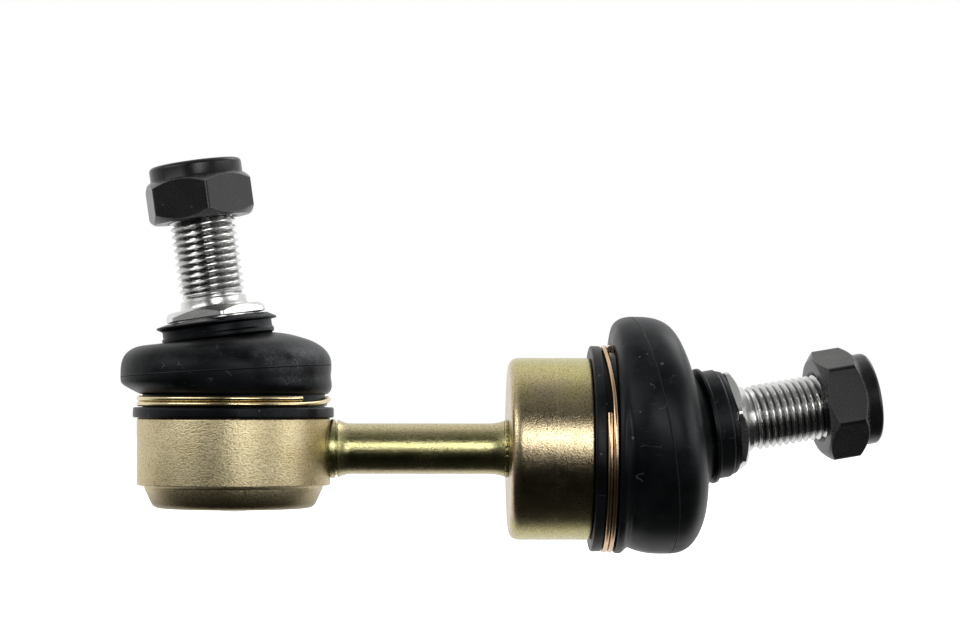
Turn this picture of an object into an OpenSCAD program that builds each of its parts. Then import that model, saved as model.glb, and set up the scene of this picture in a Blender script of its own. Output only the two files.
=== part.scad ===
// Stabilizer link: a short rod with a ball joint welded to each end.
// The left joint's axis stands across the rod and the right joint's axis lies along it.
// X runs along the rod to the right, Z points up along the left joint's axis.
// The origin is the middle of the left stud's seat face, where the bracket's hole sits.

/* [Rod] */
// Distance between the two ball centres
ball_spacing = 61; // [58:0.5:110]
// Diameter of the rod
rod_d = 9.2; // [7:0.1:10]
// Diameter of the rod's upset left end
left_flare_d = 10.6; // [10.1:0.1:11.5]
// Diameter of the rod's upset right end
right_flare_d = 10.1; // [10.1:0.1:11.5]
// Length over which each rod end widens
flare_length = 2.8; // [1:0.1:4]
// Thickness of the weld bead at the right housing
weld_bead_d = 0.8; // [0.4:0.1:1.2]

/* [Ball joints] */
// Diameter of both balls
ball_d = 18; // [17.6:0.1:18.2]
// Diameter of the stud's neck next to the ball
neck_d = 9.2; // [8:0.1:9.4]
// Largest lean of a stud away from its housing's axis
lean_limit = 25; // [15:1:26]
// Outer diameter of the plastic ball seats
seat_d = 23.2; // [22.8:0.1:23.4]
// Height of a seat above its ball's centre
seat_top = 5; // [4.6:0.1:5.2]
// Depth of a seat below its ball's centre
seat_bottom = 8.4; // [8.2:0.1:8.6]
// Width of the slots that let a seat open for its ball
seat_slot_w = 1; // [0.6:0.1:1.6]

/* [Left housing] */
// Diameter of the left housing
left_housing_d = 35; // [34:0.1:37]
// Height of the left housing's body above the ball's centre
left_body_top = 5.6; // [5.5:0.1:6.5]
// Depth of the left housing's body below the ball's centre
left_body_bottom = 6.6; // [5.6:0.1:6.8]
// Depth of the rolled bottom rim below the ball's centre
left_rim_bottom = 10.7; // [10.5:0.1:11.2]
// Diameter of the rolled rim where it leaves the body
left_rim_top_d = 32.2; // [31.4:0.1:32.8]
// Diameter of the rolled rim at the bottom
left_rim_d = 30.2; // [29.4:0.1:31]
// Diameter of the opening inside the rolled rim
left_rim_opening_d = 21; // [18:0.2:22]
// Thickness of the closing cap's plate
cap_plate = 1.6; // [1.2:0.1:1.7]
// Diameter of the closing cap's dome
cap_dome_d = 11; // [8:0.2:13]
// Height of the closing cap's dome
cap_dome_h = 1.4; // [0.8:0.1:1.5]

/* [Right housing] */
// Diameter of the right housing
right_housing_d = 33.1; // [32:0.1:35]
// Depth of the right housing behind the ball's centre
right_back = 11.2; // [11:0.1:14]
// Radius of the right housing's back edge
right_back_round = 2.1; // [1:0.1:2.6]
// Length of the right housing's body ahead of the ball's centre
right_body_top = 3.6; // [3.2:0.1:3.8]
// Thickness of the retaining ring under the rolled edge
retaining_ring_h = 1.4; // [1:0.1:1.5]
// Thickness of the rolled edge
rolled_edge_h = 0.95; // [0.7:0.05:1.2]

/* [Studs] */
// Outer diameter of the studs' thread and of the pilot under it
thread_d = 11.9; // [11.7:0.05:12]
// Length of the plain pilot next to the seat face
pilot_length = 1.6; // [1.2:0.1:2.2]
// Width of the thread's undercut
undercut_w = 0.8; // [0.5:0.1:1.2]
// Width across the flats of the studs' hexagon collar
collar_af = 17; // [16:0.1:17.4]
// Width across the blunt corners of the studs' collar
collar_corner_d = 19.2; // [18.6:0.1:19.6]
// Thickness of the collar
collar_h = 1.7; // [1.5:0.1:1.9]
// Diameter of the land that the boot's lip seals on
land_d = 14; // [13:0.1:14.2]
// Distance from the left ball's centre to the seat face of its collar
left_seat_height = 25.75; // [25.4:0.05:27]
// Distance from the right ball's centre to the seat face of its collar
right_seat_height = 31.7; // [31.2:0.1:33]
// Lean of the left stud, away from the rod
left_lean = 8; // [0:0.5:14]
// Lean of the right stud
right_lean = 11.6; // [0:0.2:14]
// Direction of the right stud's lean, from up towards the back
right_lean_heading = 36; // [0:1:90]
// Turn of the left stud's collar
left_collar_turn = 40; // [0:1:60]
// Turn of the right stud's collar
right_collar_turn = 55; // [0:1:60]

/* [Nuts] */
// Width across the nuts' flats
nut_af = 18; // [17:0.1:19]
// Width across the nuts' blunt corners
nut_corner_d = 20; // [19.5:0.1:20.4]
// Height of a nut's hexagon
nut_hex_h = 7.6; // [7:0.1:9]
// Height of a whole nut
nut_h = 10.4; // [10.2:0.1:12.5]
// Diameter of the round collar that holds the nylon ring
nut_collar_d = 16.8; // [16:0.1:17]
// Distance from the left stud's seat face to its nut
left_nut_distance = 16.2; // [8:0.1:17]
// Distance from the right stud's seat face to its nut
right_nut_distance = 15.2; // [8:0.1:17]
// Turn of the left nut
left_nut_turn = 41; // [0:1:60]
// Turn of the right nut
right_nut_turn = 26; // [0:1:60]

/* [Boots] */
// Wall thickness of the boots
boot_wall = 1.6; // [1.2:0.1:1.8]
// Largest diameter of the left boot
left_boot_d = 38.2; // [37:0.1:40]
// Diameter of the left boot under its clip
left_clip_zone_d = 33; // [32.4:0.1:33.4]
// Diameter of the left boot's base flange
left_flange_d = 36.4; // [35.6:0.1:37]
// Largest diameter of the right boot
right_boot_d = 43.6; // [42.5:0.1:45]
// Diameter of the right boot under its clip
right_clip_zone_d = 35.6; // [35:0.1:36.4]
// Diameter of the right boot's base flange
right_flange_d = 37.4; // [37:0.1:38.4]
// Thickness of the base flanges
flange_h = 1.6; // [1.2:0.1:1.8]
// Diameter of the lower ridge of the boots' lips
lip_d = 20.4; // [19.8:0.1:21]
// Diameter of the sharp upper edge of the left boot's lip
left_lip_edge_d = 21.8; // [19:0.1:22.4]
// Diameter of the upper edge of the right boot's lip
right_lip_edge_d = 19.2; // [18.8:0.1:22.4]
// Wire diameter of the base clips
clip_wire_d = 0.95; // [0.7:0.05:1]
// Wire diameter of the lip rings
lip_wire_d = 0.6; // [0.4:0.05:0.7]

/* [Hidden] */
$fn = 96;

// Clearances that the fits share
running_play = 0.05;
slide_play = 0.1;
soft_gap = 0.3;
clip_gap = 0.15;
weld_gap = 0.02;
past = 1;
arc_steps = 6;

// Ball, neck and seat
ball_r = ball_d / 2;
neck_r = neck_d / 2;
seat_r = seat_d / 2;
mouth_gap = 0.5;
seat_slots = 4;
seat_slot_foot = -2;

// Radius that lets the neck lean to its limit at this height over the ball's centre
function mouth_r(height) = height * tan(lean_limit) + neck_r / cos(lean_limit) + mouth_gap;

// Groove and bead that hold a boot on its housing
groove_r = 14;
bead_r = 14.6;
bead_h = 0.9;
edge_round = 0.5;

// Left housing
left_r = left_housing_d / 2;
left_neck_h = 4.1;
left_top = left_body_top + left_neck_h;
left_step_round = 0.6;
rim_round = 1.7;
cap_r = 12.2;
cap_top = seat_bottom + slide_play;
dome_sphere_r = (pow(cap_dome_d / 2, 2) + pow(cap_dome_h, 2)) / (2 * cap_dome_h);

// Right housing
right_r = right_housing_d / 2;
ring_foot = seat_top + slide_play;
right_top = ring_foot + retaining_ring_h + running_play + rolled_edge_h;
rolled_opening_r = 9.6;
back_recess_r = 4.4;
back_recess_depth = 1.2;

// Studs
thread_r = thread_d / 2;
land_r = land_d / 2;
undercut_depth = 0.55;
undercut_r = thread_r - undercut_depth;
undercut_slope = 0.3;
tip_chamfer = 1;
tip_setback = 1;
collar_chamfer_inset = 0.3;
collar_chamfer_angle = 35;
land_below_lip = 1.5;
neck_curve_h = 4;
neck_curve_steps = 8;

// Nuts
nut_bore_r = thread_r + running_play;
nut_chamfer_inset = 0.3;
nut_chamfer_angle = 40;
nut_collar_r = nut_collar_d / 2;
nut_collar_round = 0.8;
nut_lip_h = 0.5;
nut_lip_gap = 0.5;
nut_lip_r = thread_r + nut_lip_gap;
insert_pocket_r = 7.2;
insert_r = insert_pocket_r - running_play;

// Boots: how high each base stands, where the bulge's middle lies and how far its shoulder rises over that,
// how square it is, how far out it starts above the clip, and what share of the stud's lean carries it over.
// Its rings tilt up to a share of the lean at its middle and, within a radius, on to the whole at the lip.
// The fillet under the lip reaches out to a radius too (there is none on the left boot).
left_base = left_body_top + soft_gap;
right_base = right_body_top + soft_gap;
left_bulge_middle = 14.1;
left_bulge_half = 5.9;
left_bulge_power = 2.3;
right_bulge_middle = 14.75;
right_bulge_half = 7.7;
right_bulge_power = 2.6;
left_start_share = 0.2;
right_start_share = 0.28;
left_middle_tilt = 0.42;
right_middle_tilt = 0.74;
left_lower_tilt_power = 1;
right_lower_tilt_power = 0.5;
left_tilt_power = 1.6;
right_tilt_power = 1;
left_tilt_r = 15.5;
right_tilt_r = 20;
bulge_root_r = 11;
left_ridge_spacing = 2.2;
right_ridge_spacing = 3.4;
left_fillet_r = bulge_root_r;
right_fillet_r = 16;
lip_groove_depth = 1.2;
lip_groove_r = lip_d / 2 - lip_groove_depth;
ridge_half = 0.5;
ridge_slope = 0.15;
lip_top_drop = 0.75;
lip_waist = 0.8;
lip_top_r = 9.4;
left_follow = 0.72;
right_follow = 1.03;
left_bend_h = 3;
right_bend_h = 1.6;
boot_segments = 48;
bulge_steps = 15;
inner_steps = 8;

// Clips: the angle of each flat turn and of the step between them, where the lower end lies, and their height
clip_flat = 300;
clip_step = 60;
clip_turn_gap = 0.06;
clip_sides = 8;
clip_rings = 120;
left_clip_start = 197;
right_clip_start = 105;
clip_h = 2 * clip_wire_d + clip_turn_gap;

// Places
left_axis = [-sin(left_lean), 0, cos(left_lean)];
left_seat_point = left_seat_height * left_axis;
right_ball_point = [ball_spacing, 0, 0];

// Colours
blasted_zinc = "#b7a173";
bright_zinc = "#b3a25a";
steel = "#b9bcc0";
rubber = "#1d1d1f";
brass = "#b08a4a";
black_steel = "#2a2a2c";
seat_plastic = "#e9e6da";
nylon = "#dfe3e6";

// Turns the drawing's frame, which starts at the left ball's centre, into the part's own frame
module in_part_frame() {
    translate(-left_seat_point) children();
}

// The left housing's axis points up, and local x is the way the left stud leans
module on_left_joint() {
    in_part_frame() rotate([0, 0, 180]) children();
}

// The right housing's axis points along the rod, and local x is the way the right stud leans
module on_right_joint() {
    in_part_frame()
        translate(right_ball_point)
            rotate([0, 90, 0])
                rotate([0, 0, 180 - right_lean_heading])
                    children();
}

module on_left_stud() {
    on_left_joint() rotate([0, left_lean, 0]) children();
}

module on_right_stud() {
    on_right_joint() rotate([0, right_lean, 0]) children();
}

// Points of an arc about a centre, between two angles
function arc(centre, radius, from, to) =
    [for (i = [0:arc_steps])
        let (angle = from + (to - from) * i / arc_steps)
        centre + radius * [cos(angle), sin(angle)]];

// What a round corner takes off a profile: the corner's point, its radius and the sides it faces
module corner_waste(corner, radius, side) {
    reach = radius + past;
    centre = corner - radius * side;
    translate(centre)
        difference() {
            polygon([[0, 0], [side.x * reach, 0], [side.x * reach, side.y * reach], [0, side.y * reach]]);
            circle(radius);
        }
}

// A hexagon prism with blunt corners, chamfered at the top, and at the foot too if it has a foot chamfer
module chamfered_hexagon(across_flats, corner_d, height, inset, angle, chamfer_foot) {
    chamfer_r = across_flats / 2 - inset;
    blunt_r = corner_d / 2;
    drop = (blunt_r - chamfer_r) * tan(angle);
    foot = chamfer_foot ? [[chamfer_r, 0], [blunt_r, drop]] : [[blunt_r, 0]];
    intersection() {
        linear_extrude(height) circle(across_flats / 2 / cos(30), $fn = 6);
        rotate_extrude()
            polygon(concat([[0, 0]], foot, [[blunt_r, height - drop], [chamfer_r, height], [0, height]]));
    }
}

// Opening that the neck leans in, from the ball's centre up to past the given height
module mouth(height) {
    top = height + past;
    cylinder(h = top, r1 = mouth_r(0), r2 = mouth_r(top));
}

// Rod

// Radius of a rod end at a share of its flare, from the rod to the weld
function flare_r(flare_d, share) = rod_d / 2 + (flare_d - rod_d) / 2 * share * share;

module link_rod() {
    flare_steps = 8;
    left_end = left_r * cos(asin(left_flare_d / 2 / left_r)) - weld_bead_d;
    right_end = ball_spacing - right_back - weld_gap;
    left_flare_end = left_r + weld_bead_d;
    right_flare_start = right_end - weld_bead_d;
    left_curve = [for (i = [0:flare_steps])
        [flare_r(left_flare_d, 1 - i / flare_steps), left_flare_end + flare_length * i / flare_steps]];
    right_curve = [for (i = [0:flare_steps])
        [flare_r(right_flare_d, i / flare_steps), right_flare_start - flare_length * (1 - i / flare_steps)]];
    color(bright_zinc)
        in_part_frame()
            difference() {
                rotate([0, 90, 0])
                    rotate_extrude() {
                        polygon(concat([[0, left_end], [left_flare_d / 2, left_end]], left_curve, right_curve,
                                       [[right_flare_d / 2, right_end], [0, right_end]]));
                        translate([right_flare_d / 2 - weld_bead_d / 4, right_end - weld_bead_d / 2])
                            circle(weld_bead_d / 2);
                    }
                translate([0, 0, -left_r])
                    cylinder(h = left_housing_d, r = left_r + weld_gap);
            }
}

// Housings and what closes them

// The groove that a boot's base sits in, with the bead above it, as seen in half section
module boot_neck(foot, top) {
    difference() {
        union() {
            translate([0, foot - past]) square([groove_r, top - foot + past]);
            translate([0, top - bead_h]) square([bead_r, bead_h]);
        }
        corner_waste([bead_r, top], edge_round, [1, 1]);
    }
}

module left_housing() {
    step_centre = [left_rim_top_d / 2 + left_step_round, -left_body_bottom - left_step_round];
    rim_centre = [left_rim_d / 2 - rim_round, rim_round - left_rim_bottom];
    color(blasted_zinc)
        on_left_joint()
            difference() {
                union() {
                    rotate_extrude()
                        difference() {
                            union() {
                                translate([0, -left_body_bottom])
                                    square([left_r, left_body_top + left_body_bottom]);
                                boot_neck(left_body_top, left_top);
                            }
                            corner_waste([left_r, left_body_top], edge_round, [1, 1]);
                            corner_waste([left_r, -left_body_bottom], edge_round, [1, -1]);
                        }
                    rotate_extrude()
                        polygon(concat(
                            [[0, past - left_body_bottom], [step_centre.x, past - left_body_bottom]],
                            arc(step_centre, left_step_round, 90, 180),
                            arc(rim_centre, rim_round, 0, -90),
                            [[0, -left_rim_bottom]]));
                }
                translate([0, 0, -cap_top])
                    cylinder(h = cap_top + seat_top + slide_play, r = seat_r + running_play);
                translate([0, 0, -cap_top - cap_plate - running_play])
                    cylinder(h = cap_plate + running_play, r = cap_r + running_play);
                translate([0, 0, -left_rim_bottom - past])
                    cylinder(h = left_rim_bottom + past - cap_top, d = left_rim_opening_d);
                mouth(left_top);
            }
}

module left_closing_cap() {
    plate_foot = -cap_top - cap_plate;
    color(steel)
        on_left_joint()
            rotate_extrude()
                difference() {
                    union() {
                        translate([0, plate_foot]) square([cap_r, cap_plate]);
                        intersection() {
                            translate([0, plate_foot - cap_dome_h + dome_sphere_r])
                                circle(dome_sphere_r);
                            translate([0, plate_foot - cap_dome_h])
                                square([cap_dome_d / 2, cap_dome_h + past / 2]);
                        }
                    }
                    intersection() {
                        translate([0, -cap_top - cap_dome_h + dome_sphere_r])
                            circle(dome_sphere_r);
                        translate([0, -cap_top - cap_dome_h - past])
                            square([cap_dome_d / 2, cap_dome_h + 2 * past]);
                    }
                    translate([-cap_r - past, plate_foot - 2 * past])
                        square([cap_r + past, cap_plate + 4 * past]);
                }
}

module right_housing() {
    color(bright_zinc)
        on_right_joint()
            difference() {
                rotate_extrude()
                    difference() {
                        union() {
                            translate([0, -right_back]) square([right_r, right_back + right_body_top]);
                            boot_neck(right_body_top, right_top);
                        }
                        corner_waste([right_r, right_body_top], edge_round, [1, 1]);
                        corner_waste([right_r, -right_back], right_back_round, [1, -1]);
                    }
                translate([0, 0, -cap_top])
                    cylinder(h = cap_top + ring_foot, r = seat_r + running_play);
                translate([0, 0, -cap_top - back_recess_depth])
                    cylinder(h = back_recess_depth + past, r = back_recess_r);
                cylinder(h = ring_foot + retaining_ring_h + running_play, r = seat_r + running_play);
                cylinder(h = right_top + past, r = rolled_opening_r);
            }
}

module right_retaining_ring() {
    color(steel)
        on_right_joint()
            difference() {
                translate([0, 0, ring_foot]) cylinder(h = retaining_ring_h, r = seat_r);
                mouth(ring_foot + retaining_ring_h);
            }
}

// A plastic cup around the ball, slotted so that the ball snaps in
module ball_seat() {
    difference() {
        translate([0, 0, -seat_bottom]) cylinder(h = seat_bottom + seat_top, r = seat_r);
        sphere(ball_r + running_play);
        mouth(seat_top);
        for (i = [0:seat_slots - 1])
            rotate([0, 0, 360 / seat_slots * (i + 0.5)])
                translate([0, -seat_slot_w / 2, seat_slot_foot])
                    cube([seat_r + past, seat_slot_w, seat_top - seat_slot_foot + past]);
    }
}

module left_ball_seat() {
    color(seat_plastic) on_left_joint() ball_seat();
}

module right_ball_seat() {
    color(seat_plastic) on_right_joint() ball_seat();
}

// Studs

// Ball, neck, sealing land, hexagon collar, pilot and thread on one axis
module ball_stud(seat_height, nut_distance, ridge_spacing, collar_turn) {
    collar_foot = seat_height - collar_h;
    land_foot = collar_foot - ridge_spacing - lip_top_drop - lip_waist - land_below_lip;
    neck_top = land_foot - neck_curve_h;
    tip = seat_height + nut_distance + nut_h - tip_setback;
    undercut_foot = seat_height + pilot_length;
    thread_foot = undercut_foot + undercut_w;
    neck_curve = [for (i = [0:neck_curve_steps])
        [neck_r + (land_r - neck_r) * (1 - cos(180 * i / neck_curve_steps)) / 2,
         neck_top + (land_foot - neck_top) * i / neck_curve_steps]];
    union() {
        sphere(ball_r);
        rotate_extrude()
            polygon(concat(
                [[0, 0], [neck_r, 0]],
                neck_curve,
                [[land_r, collar_foot + collar_h / 2], [thread_r, collar_foot + collar_h / 2],
                 [thread_r, undercut_foot], [undercut_r, undercut_foot + undercut_slope],
                 [undercut_r, thread_foot - undercut_slope], [thread_r, thread_foot],
                 [thread_r, tip - tip_chamfer], [thread_r - tip_chamfer, tip], [0, tip]]));
        translate([0, 0, collar_foot])
            rotate([0, 0, collar_turn])
                chamfered_hexagon(collar_af, collar_corner_d, collar_h, collar_chamfer_inset,
                                  collar_chamfer_angle, false);
    }
}

module left_ball_stud() {
    color(steel)
        on_left_stud()
            ball_stud(left_seat_height, left_nut_distance, left_ridge_spacing, left_collar_turn);
}

module right_ball_stud() {
    color(steel)
        on_right_stud()
            ball_stud(right_seat_height, right_nut_distance, right_ridge_spacing, right_collar_turn);
}

// Nuts

// Hexagon with a round collar on top, bored for the thread and hollowed for the nylon ring
module lock_nut() {
    difference() {
        union() {
            chamfered_hexagon(nut_af, nut_corner_d, nut_hex_h, nut_chamfer_inset, nut_chamfer_angle, true);
            rotate_extrude()
                difference() {
                    translate([0, nut_hex_h - past]) square([nut_collar_r, nut_h - nut_hex_h + past]);
                    corner_waste([nut_collar_r, nut_h], nut_collar_round, [1, 1]);
                }
        }
        translate([0, 0, -past]) cylinder(h = nut_h + 2 * past, r = nut_bore_r);
        translate([0, 0, nut_hex_h]) cylinder(h = nut_h - nut_lip_h - nut_hex_h, r = insert_pocket_r);
        translate([0, 0, nut_h - nut_lip_h - past]) cylinder(h = nut_lip_h + 2 * past, r = nut_lip_r);
    }
}

// Nylon ring that grips the thread
module nut_insert() {
    difference() {
        translate([0, 0, nut_hex_h + slide_play])
            cylinder(h = nut_h - nut_lip_h - nut_hex_h - 2 * slide_play, r = insert_r);
        translate([0, 0, nut_hex_h - past]) cylinder(h = nut_h, r = nut_bore_r);
    }
}

module left_nut() {
    color(black_steel)
        on_left_stud()
            translate([0, 0, left_seat_height + left_nut_distance])
                rotate([0, 0, left_nut_turn])
                    lock_nut();
}

module left_nut_insert() {
    color(nylon)
        on_left_stud()
            translate([0, 0, left_seat_height + left_nut_distance])
                nut_insert();
}

module right_nut() {
    color(black_steel)
        on_right_stud()
            translate([0, 0, right_seat_height + right_nut_distance])
                rotate([0, 0, right_nut_turn])
                    lock_nut();
}

module right_nut_insert() {
    color(nylon)
        on_right_stud()
            translate([0, 0, right_seat_height + right_nut_distance])
                nut_insert();
}

// Boots

// Squared-off round of a boot's bulge at one angle, as radius and height
function bulge_point(root_r, outer_r, middle, half, power, angle) =
    [root_r + (outer_r - root_r) * pow(max(0, cos(angle)), 2 / power),
     middle + half * sign(angle) * pow(abs(sin(angle)), 2 / power)];

// The angle at which a bulge's lower side passes a given radius
function bulge_start(root_r, outer_r, power, radius) =
    -acos(pow((radius - root_r) / (outer_r - root_r), power / 2));

// The bulge from a given radius up over its shoulder to its root
function bulge_curve(root_r, outer_r, middle, lower, upper, power, start_r, steps) =
    let (start = bulge_start(root_r, outer_r, power, start_r))
    [for (i = [0:steps])
        let (angle = start + (90 - start) * i / steps)
        bulge_point(root_r, outer_r, middle, angle < 0 ? lower : upper, power, angle)];

// Height of a bulge's upper side at a given radius
function shoulder_height(root_r, outer_r, middle, half, power, radius) =
    middle + half * pow(sin(acos(pow((radius - root_r) / (outer_r - root_r), power / 2))), 2 / power);

// Raises a bulge's inner shoulder to a fillet that runs up to the lip's foot
function filleted(curve, middle, fillet_r, fillet_h, foot) =
    [for (p = curve)
        let (rise = pow(max(0, fillet_r - p.x) / (fillet_r - foot.x), 2))
        p.y < middle || p.x >= fillet_r ? p : [p.x, max(p.y, fillet_h + (foot.y - fillet_h) * rise)]];

// Lip from the bulge's root up: a blunt ridge, the groove for the wire ring, and a sharp upper edge
function lip_outline(lip_top, edge_r, ridge_spacing) =
    let (upper = lip_top - lip_top_drop, lower = upper - ridge_spacing, lip_r = lip_d / 2)
    [[lip_r - ridge_half, lower - lip_waist], [lip_r, lower - ridge_half + ridge_slope],
     [lip_r, lower + ridge_half - ridge_slope], [lip_groove_r, lower + ridge_half],
     [lip_groove_r, upper - ridge_half], [edge_r, upper - ridge_slope],
     [edge_r, upper + ridge_slope], [lip_top_r, lip_top]];

// A boot's whole outline: up the outside from the flange past the clip to the lip, then down the inside.
// The bulge's lower side starts right above the clip, a share of the way out to its largest radius.
function boot_outline(base, neck_top, flange_r, clip_r, bulge_r, middle, half, power, start_share, fillet_r,
                      bend_foot, lip) =
    let (inner_r = land_r + soft_gap,
         flange_top = base + flange_h,
         bead_clear_r = bead_r + soft_gap,
         inner_start_r = bead_clear_r + soft_gap,
         start_r = clip_r + start_share * (bulge_r - clip_r),
         start = bulge_start(bulge_root_r, bulge_r, power, start_r),
         lower = (middle - bend_foot) / pow(sin(-start), 2 / power),
         fillet_h = shoulder_height(bulge_root_r, bulge_r, middle, half, power, fillet_r),
         inner = bulge_curve(bulge_root_r, bulge_r - boot_wall, middle, lower - boot_wall, half - boot_wall,
                             power, inner_start_r, inner_steps))
    concat(
        [[flange_r, base], [flange_r, flange_top], [clip_r, flange_top], [clip_r, bend_foot]],
        filleted(bulge_curve(bulge_root_r, bulge_r, middle, lower, half, power, start_r, bulge_steps),
                 middle, fillet_r, fillet_h, lip[0]),
        lip,
        [[inner_r, lip[len(lip) - 1].y], [inner_r, lip[0].y],
         [inner_r, middle + half - boot_wall + soft_gap]],
        [for (i = [inner_steps:-1:0]) inner[i]],
        [[bead_clear_r, neck_top], [bead_clear_r, neck_top - bead_h - soft_gap],
         [groove_r + soft_gap, neck_top - bead_h - soft_gap], [groove_r + soft_gap, base]]);

// Share of the way from one height to another, from 0 to 1
function share(height, foot, top) = min(1, max(0, (height - foot) / (top - foot)));

// The same share, but it starts and ends gently
function eased(part) = part * part * (3 - 2 * part);

// How far a boot's middle is carried over at a given height. The bulge moves as a whole from a short bend
// above the clip, and from its middle up the boot closes on the stud's axis.
function boot_shift(height, lean, bend_foot, bend_h, middle, lip_foot, follow) =
    let (lip_share = eased(share(height, middle, lip_foot)),
         bulge_shift = follow * middle * sin(lean) * eased(share(height, bend_foot, bend_foot + bend_h)))
    bulge_shift * (1 - lip_share) + height * sin(lean) * lip_share;

// Share of the lean that a ring of the boot is tilted by: it rises to the bulge's middle, then on to the lip
function boot_tilt(radius, height, bend_foot, middle, lip_r, tilt) =
    height <= middle
    ? tilt[0] * pow(share(height, bend_foot, middle), tilt[1])
    : tilt[0] + (1 - tilt[0]) * pow(share(radius, tilt[2], lip_r), tilt[3]);

// One point of a boot: round the axis by turn, tilted, lowered with the lean and carried over
function boot_point(radius, height, turn, shift, sink, tilt) =
    let (x = radius * cos(turn), y = radius * sin(turn))
    [x * cos(tilt) + shift, y, height * cos(sink) - x * sin(tilt)];

// Sweeps the outline round the axis and bends it, so that its lip stands square on the leaning stud.
// The tilt is given as share at the middle, power below it, radius where it grows on, and power above it.
module bent_boot(outline, lean, bend_foot, bend_h, middle, lip_foot, follow, tilt) {
    count = len(outline);
    points = [for (i = [0:boot_segments - 1]) for (p = outline)
        boot_point(p.x, p.y, 360 * i / boot_segments,
                   boot_shift(p.y, lean, bend_foot, bend_h, middle, lip_foot.y, follow),
                   lean * eased(share(p.y, middle, lip_foot.y)),
                   lean * boot_tilt(p.x, p.y, bend_foot, middle, lip_foot.x, tilt))];
    faces = [for (i = [0:boot_segments - 1]) for (j = [0:count - 1])
        let (k = (i + 1) % boot_segments, n = (j + 1) % count)
        [i * count + j, i * count + n, k * count + n, k * count + j]];
    polyhedron(points, faces);
}

module left_boot() {
    lip_top = left_seat_height - collar_h - soft_gap;
    lip = lip_outline(lip_top, left_lip_edge_d / 2, left_ridge_spacing);
    bend_foot = left_base + flange_h + clip_gap + clip_h + soft_gap;
    tilt = [left_middle_tilt, left_lower_tilt_power, left_tilt_r, left_tilt_power];
    outline = boot_outline(left_base, left_top, left_flange_d / 2, left_clip_zone_d / 2, left_boot_d / 2,
                           left_bulge_middle, left_bulge_half, left_bulge_power, left_start_share,
                           left_fillet_r, bend_foot, lip);
    color(rubber)
        on_left_joint()
            bent_boot(outline, left_lean, bend_foot, left_bend_h, left_bulge_middle, lip[0], left_follow,
                      tilt);
}

module right_boot() {
    lip_top = right_seat_height - collar_h - soft_gap;
    lip = lip_outline(lip_top, right_lip_edge_d / 2, right_ridge_spacing);
    bend_foot = right_base + flange_h + clip_gap + clip_h + soft_gap;
    tilt = [right_middle_tilt, right_lower_tilt_power, right_tilt_r, right_tilt_power];
    outline = boot_outline(right_base, right_top, right_flange_d / 2, right_clip_zone_d / 2, right_boot_d / 2,
                           right_bulge_middle, right_bulge_half, right_bulge_power, right_start_share,
                           right_fillet_r, bend_foot, lip);
    color(rubber)
        on_right_joint()
            bent_boot(outline, right_lean, bend_foot, right_bend_h, right_bulge_middle, lip[0], right_follow,
                      tilt);
}

// Height of a clip's wire, in turns, at an angle past its lower end: flat, then a step up, then flat again
function clip_level(swept) = (1 - cos(180 * min(1, max(0, (swept - clip_flat) / clip_step)))) / 2;

// Wire wound twice round a boot's base, with one step from the lower turn to the upper one
module boot_clip(zone_d, foot, start) {
    wire_r = clip_wire_d / 2;
    coil_r = zone_d / 2 + clip_gap + wire_r;
    rise = clip_h - clip_wire_d;
    sweep = 2 * clip_flat + clip_step;
    points = [for (i = [0:clip_rings]) for (j = [0:clip_sides - 1])
        let (swept = sweep * i / clip_rings, turn = start + swept, side = 360 * (j + 0.5) / clip_sides,
             r = coil_r + wire_r * cos(side))
        [r * cos(turn), r * sin(turn), foot + wire_r + rise * clip_level(swept) + wire_r * sin(side)]];
    walls = [for (i = [0:clip_rings - 1]) for (j = [0:clip_sides - 1])
        let (n = (j + 1) % clip_sides)
        [i * clip_sides + j, i * clip_sides + n, (i + 1) * clip_sides + n, (i + 1) * clip_sides + j]];
    first_end = [for (j = [clip_sides - 1:-1:0]) j];
    last_end = [for (j = [0:clip_sides - 1]) clip_rings * clip_sides + j];
    polyhedron(points, concat(walls, [first_end, last_end]));
}

module left_boot_clip() {
    color(brass)
        on_left_joint()
            boot_clip(left_clip_zone_d, left_base + flange_h + clip_gap, left_clip_start);
}

module right_boot_clip() {
    color(brass)
        on_right_joint()
            boot_clip(right_clip_zone_d, right_base + flange_h + clip_gap, right_clip_start);
}

// Wire ring in the groove of a boot's lip
module lip_ring(seat_height, ridge_spacing) {
    middle = seat_height - collar_h - soft_gap - lip_top_drop - ridge_spacing / 2;
    translate([0, 0, middle])
        rotate_extrude()
            translate([lip_groove_r + soft_gap + lip_wire_d / 2, 0])
                circle(d = lip_wire_d);
}

module left_lip_ring() {
    color(black_steel) on_left_stud() lip_ring(left_seat_height, left_ridge_spacing);
}

module right_lip_ring() {
    color(black_steel) on_right_stud() lip_ring(right_seat_height, right_ridge_spacing);
}

link_rod();
left_housing();
left_closing_cap();
left_ball_seat();
left_ball_stud();
left_boot();
left_boot_clip();
left_lip_ring();
left_nut_insert();
left_nut();
right_housing();
right_retaining_ring();
right_ball_seat();
right_ball_stud();
right_boot();
right_boot_clip();
right_lip_ring();
right_nut_insert();
right_nut();
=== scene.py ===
import bpy, bmesh, math
import numpy as np
from mathutils import Matrix, Vector


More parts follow.
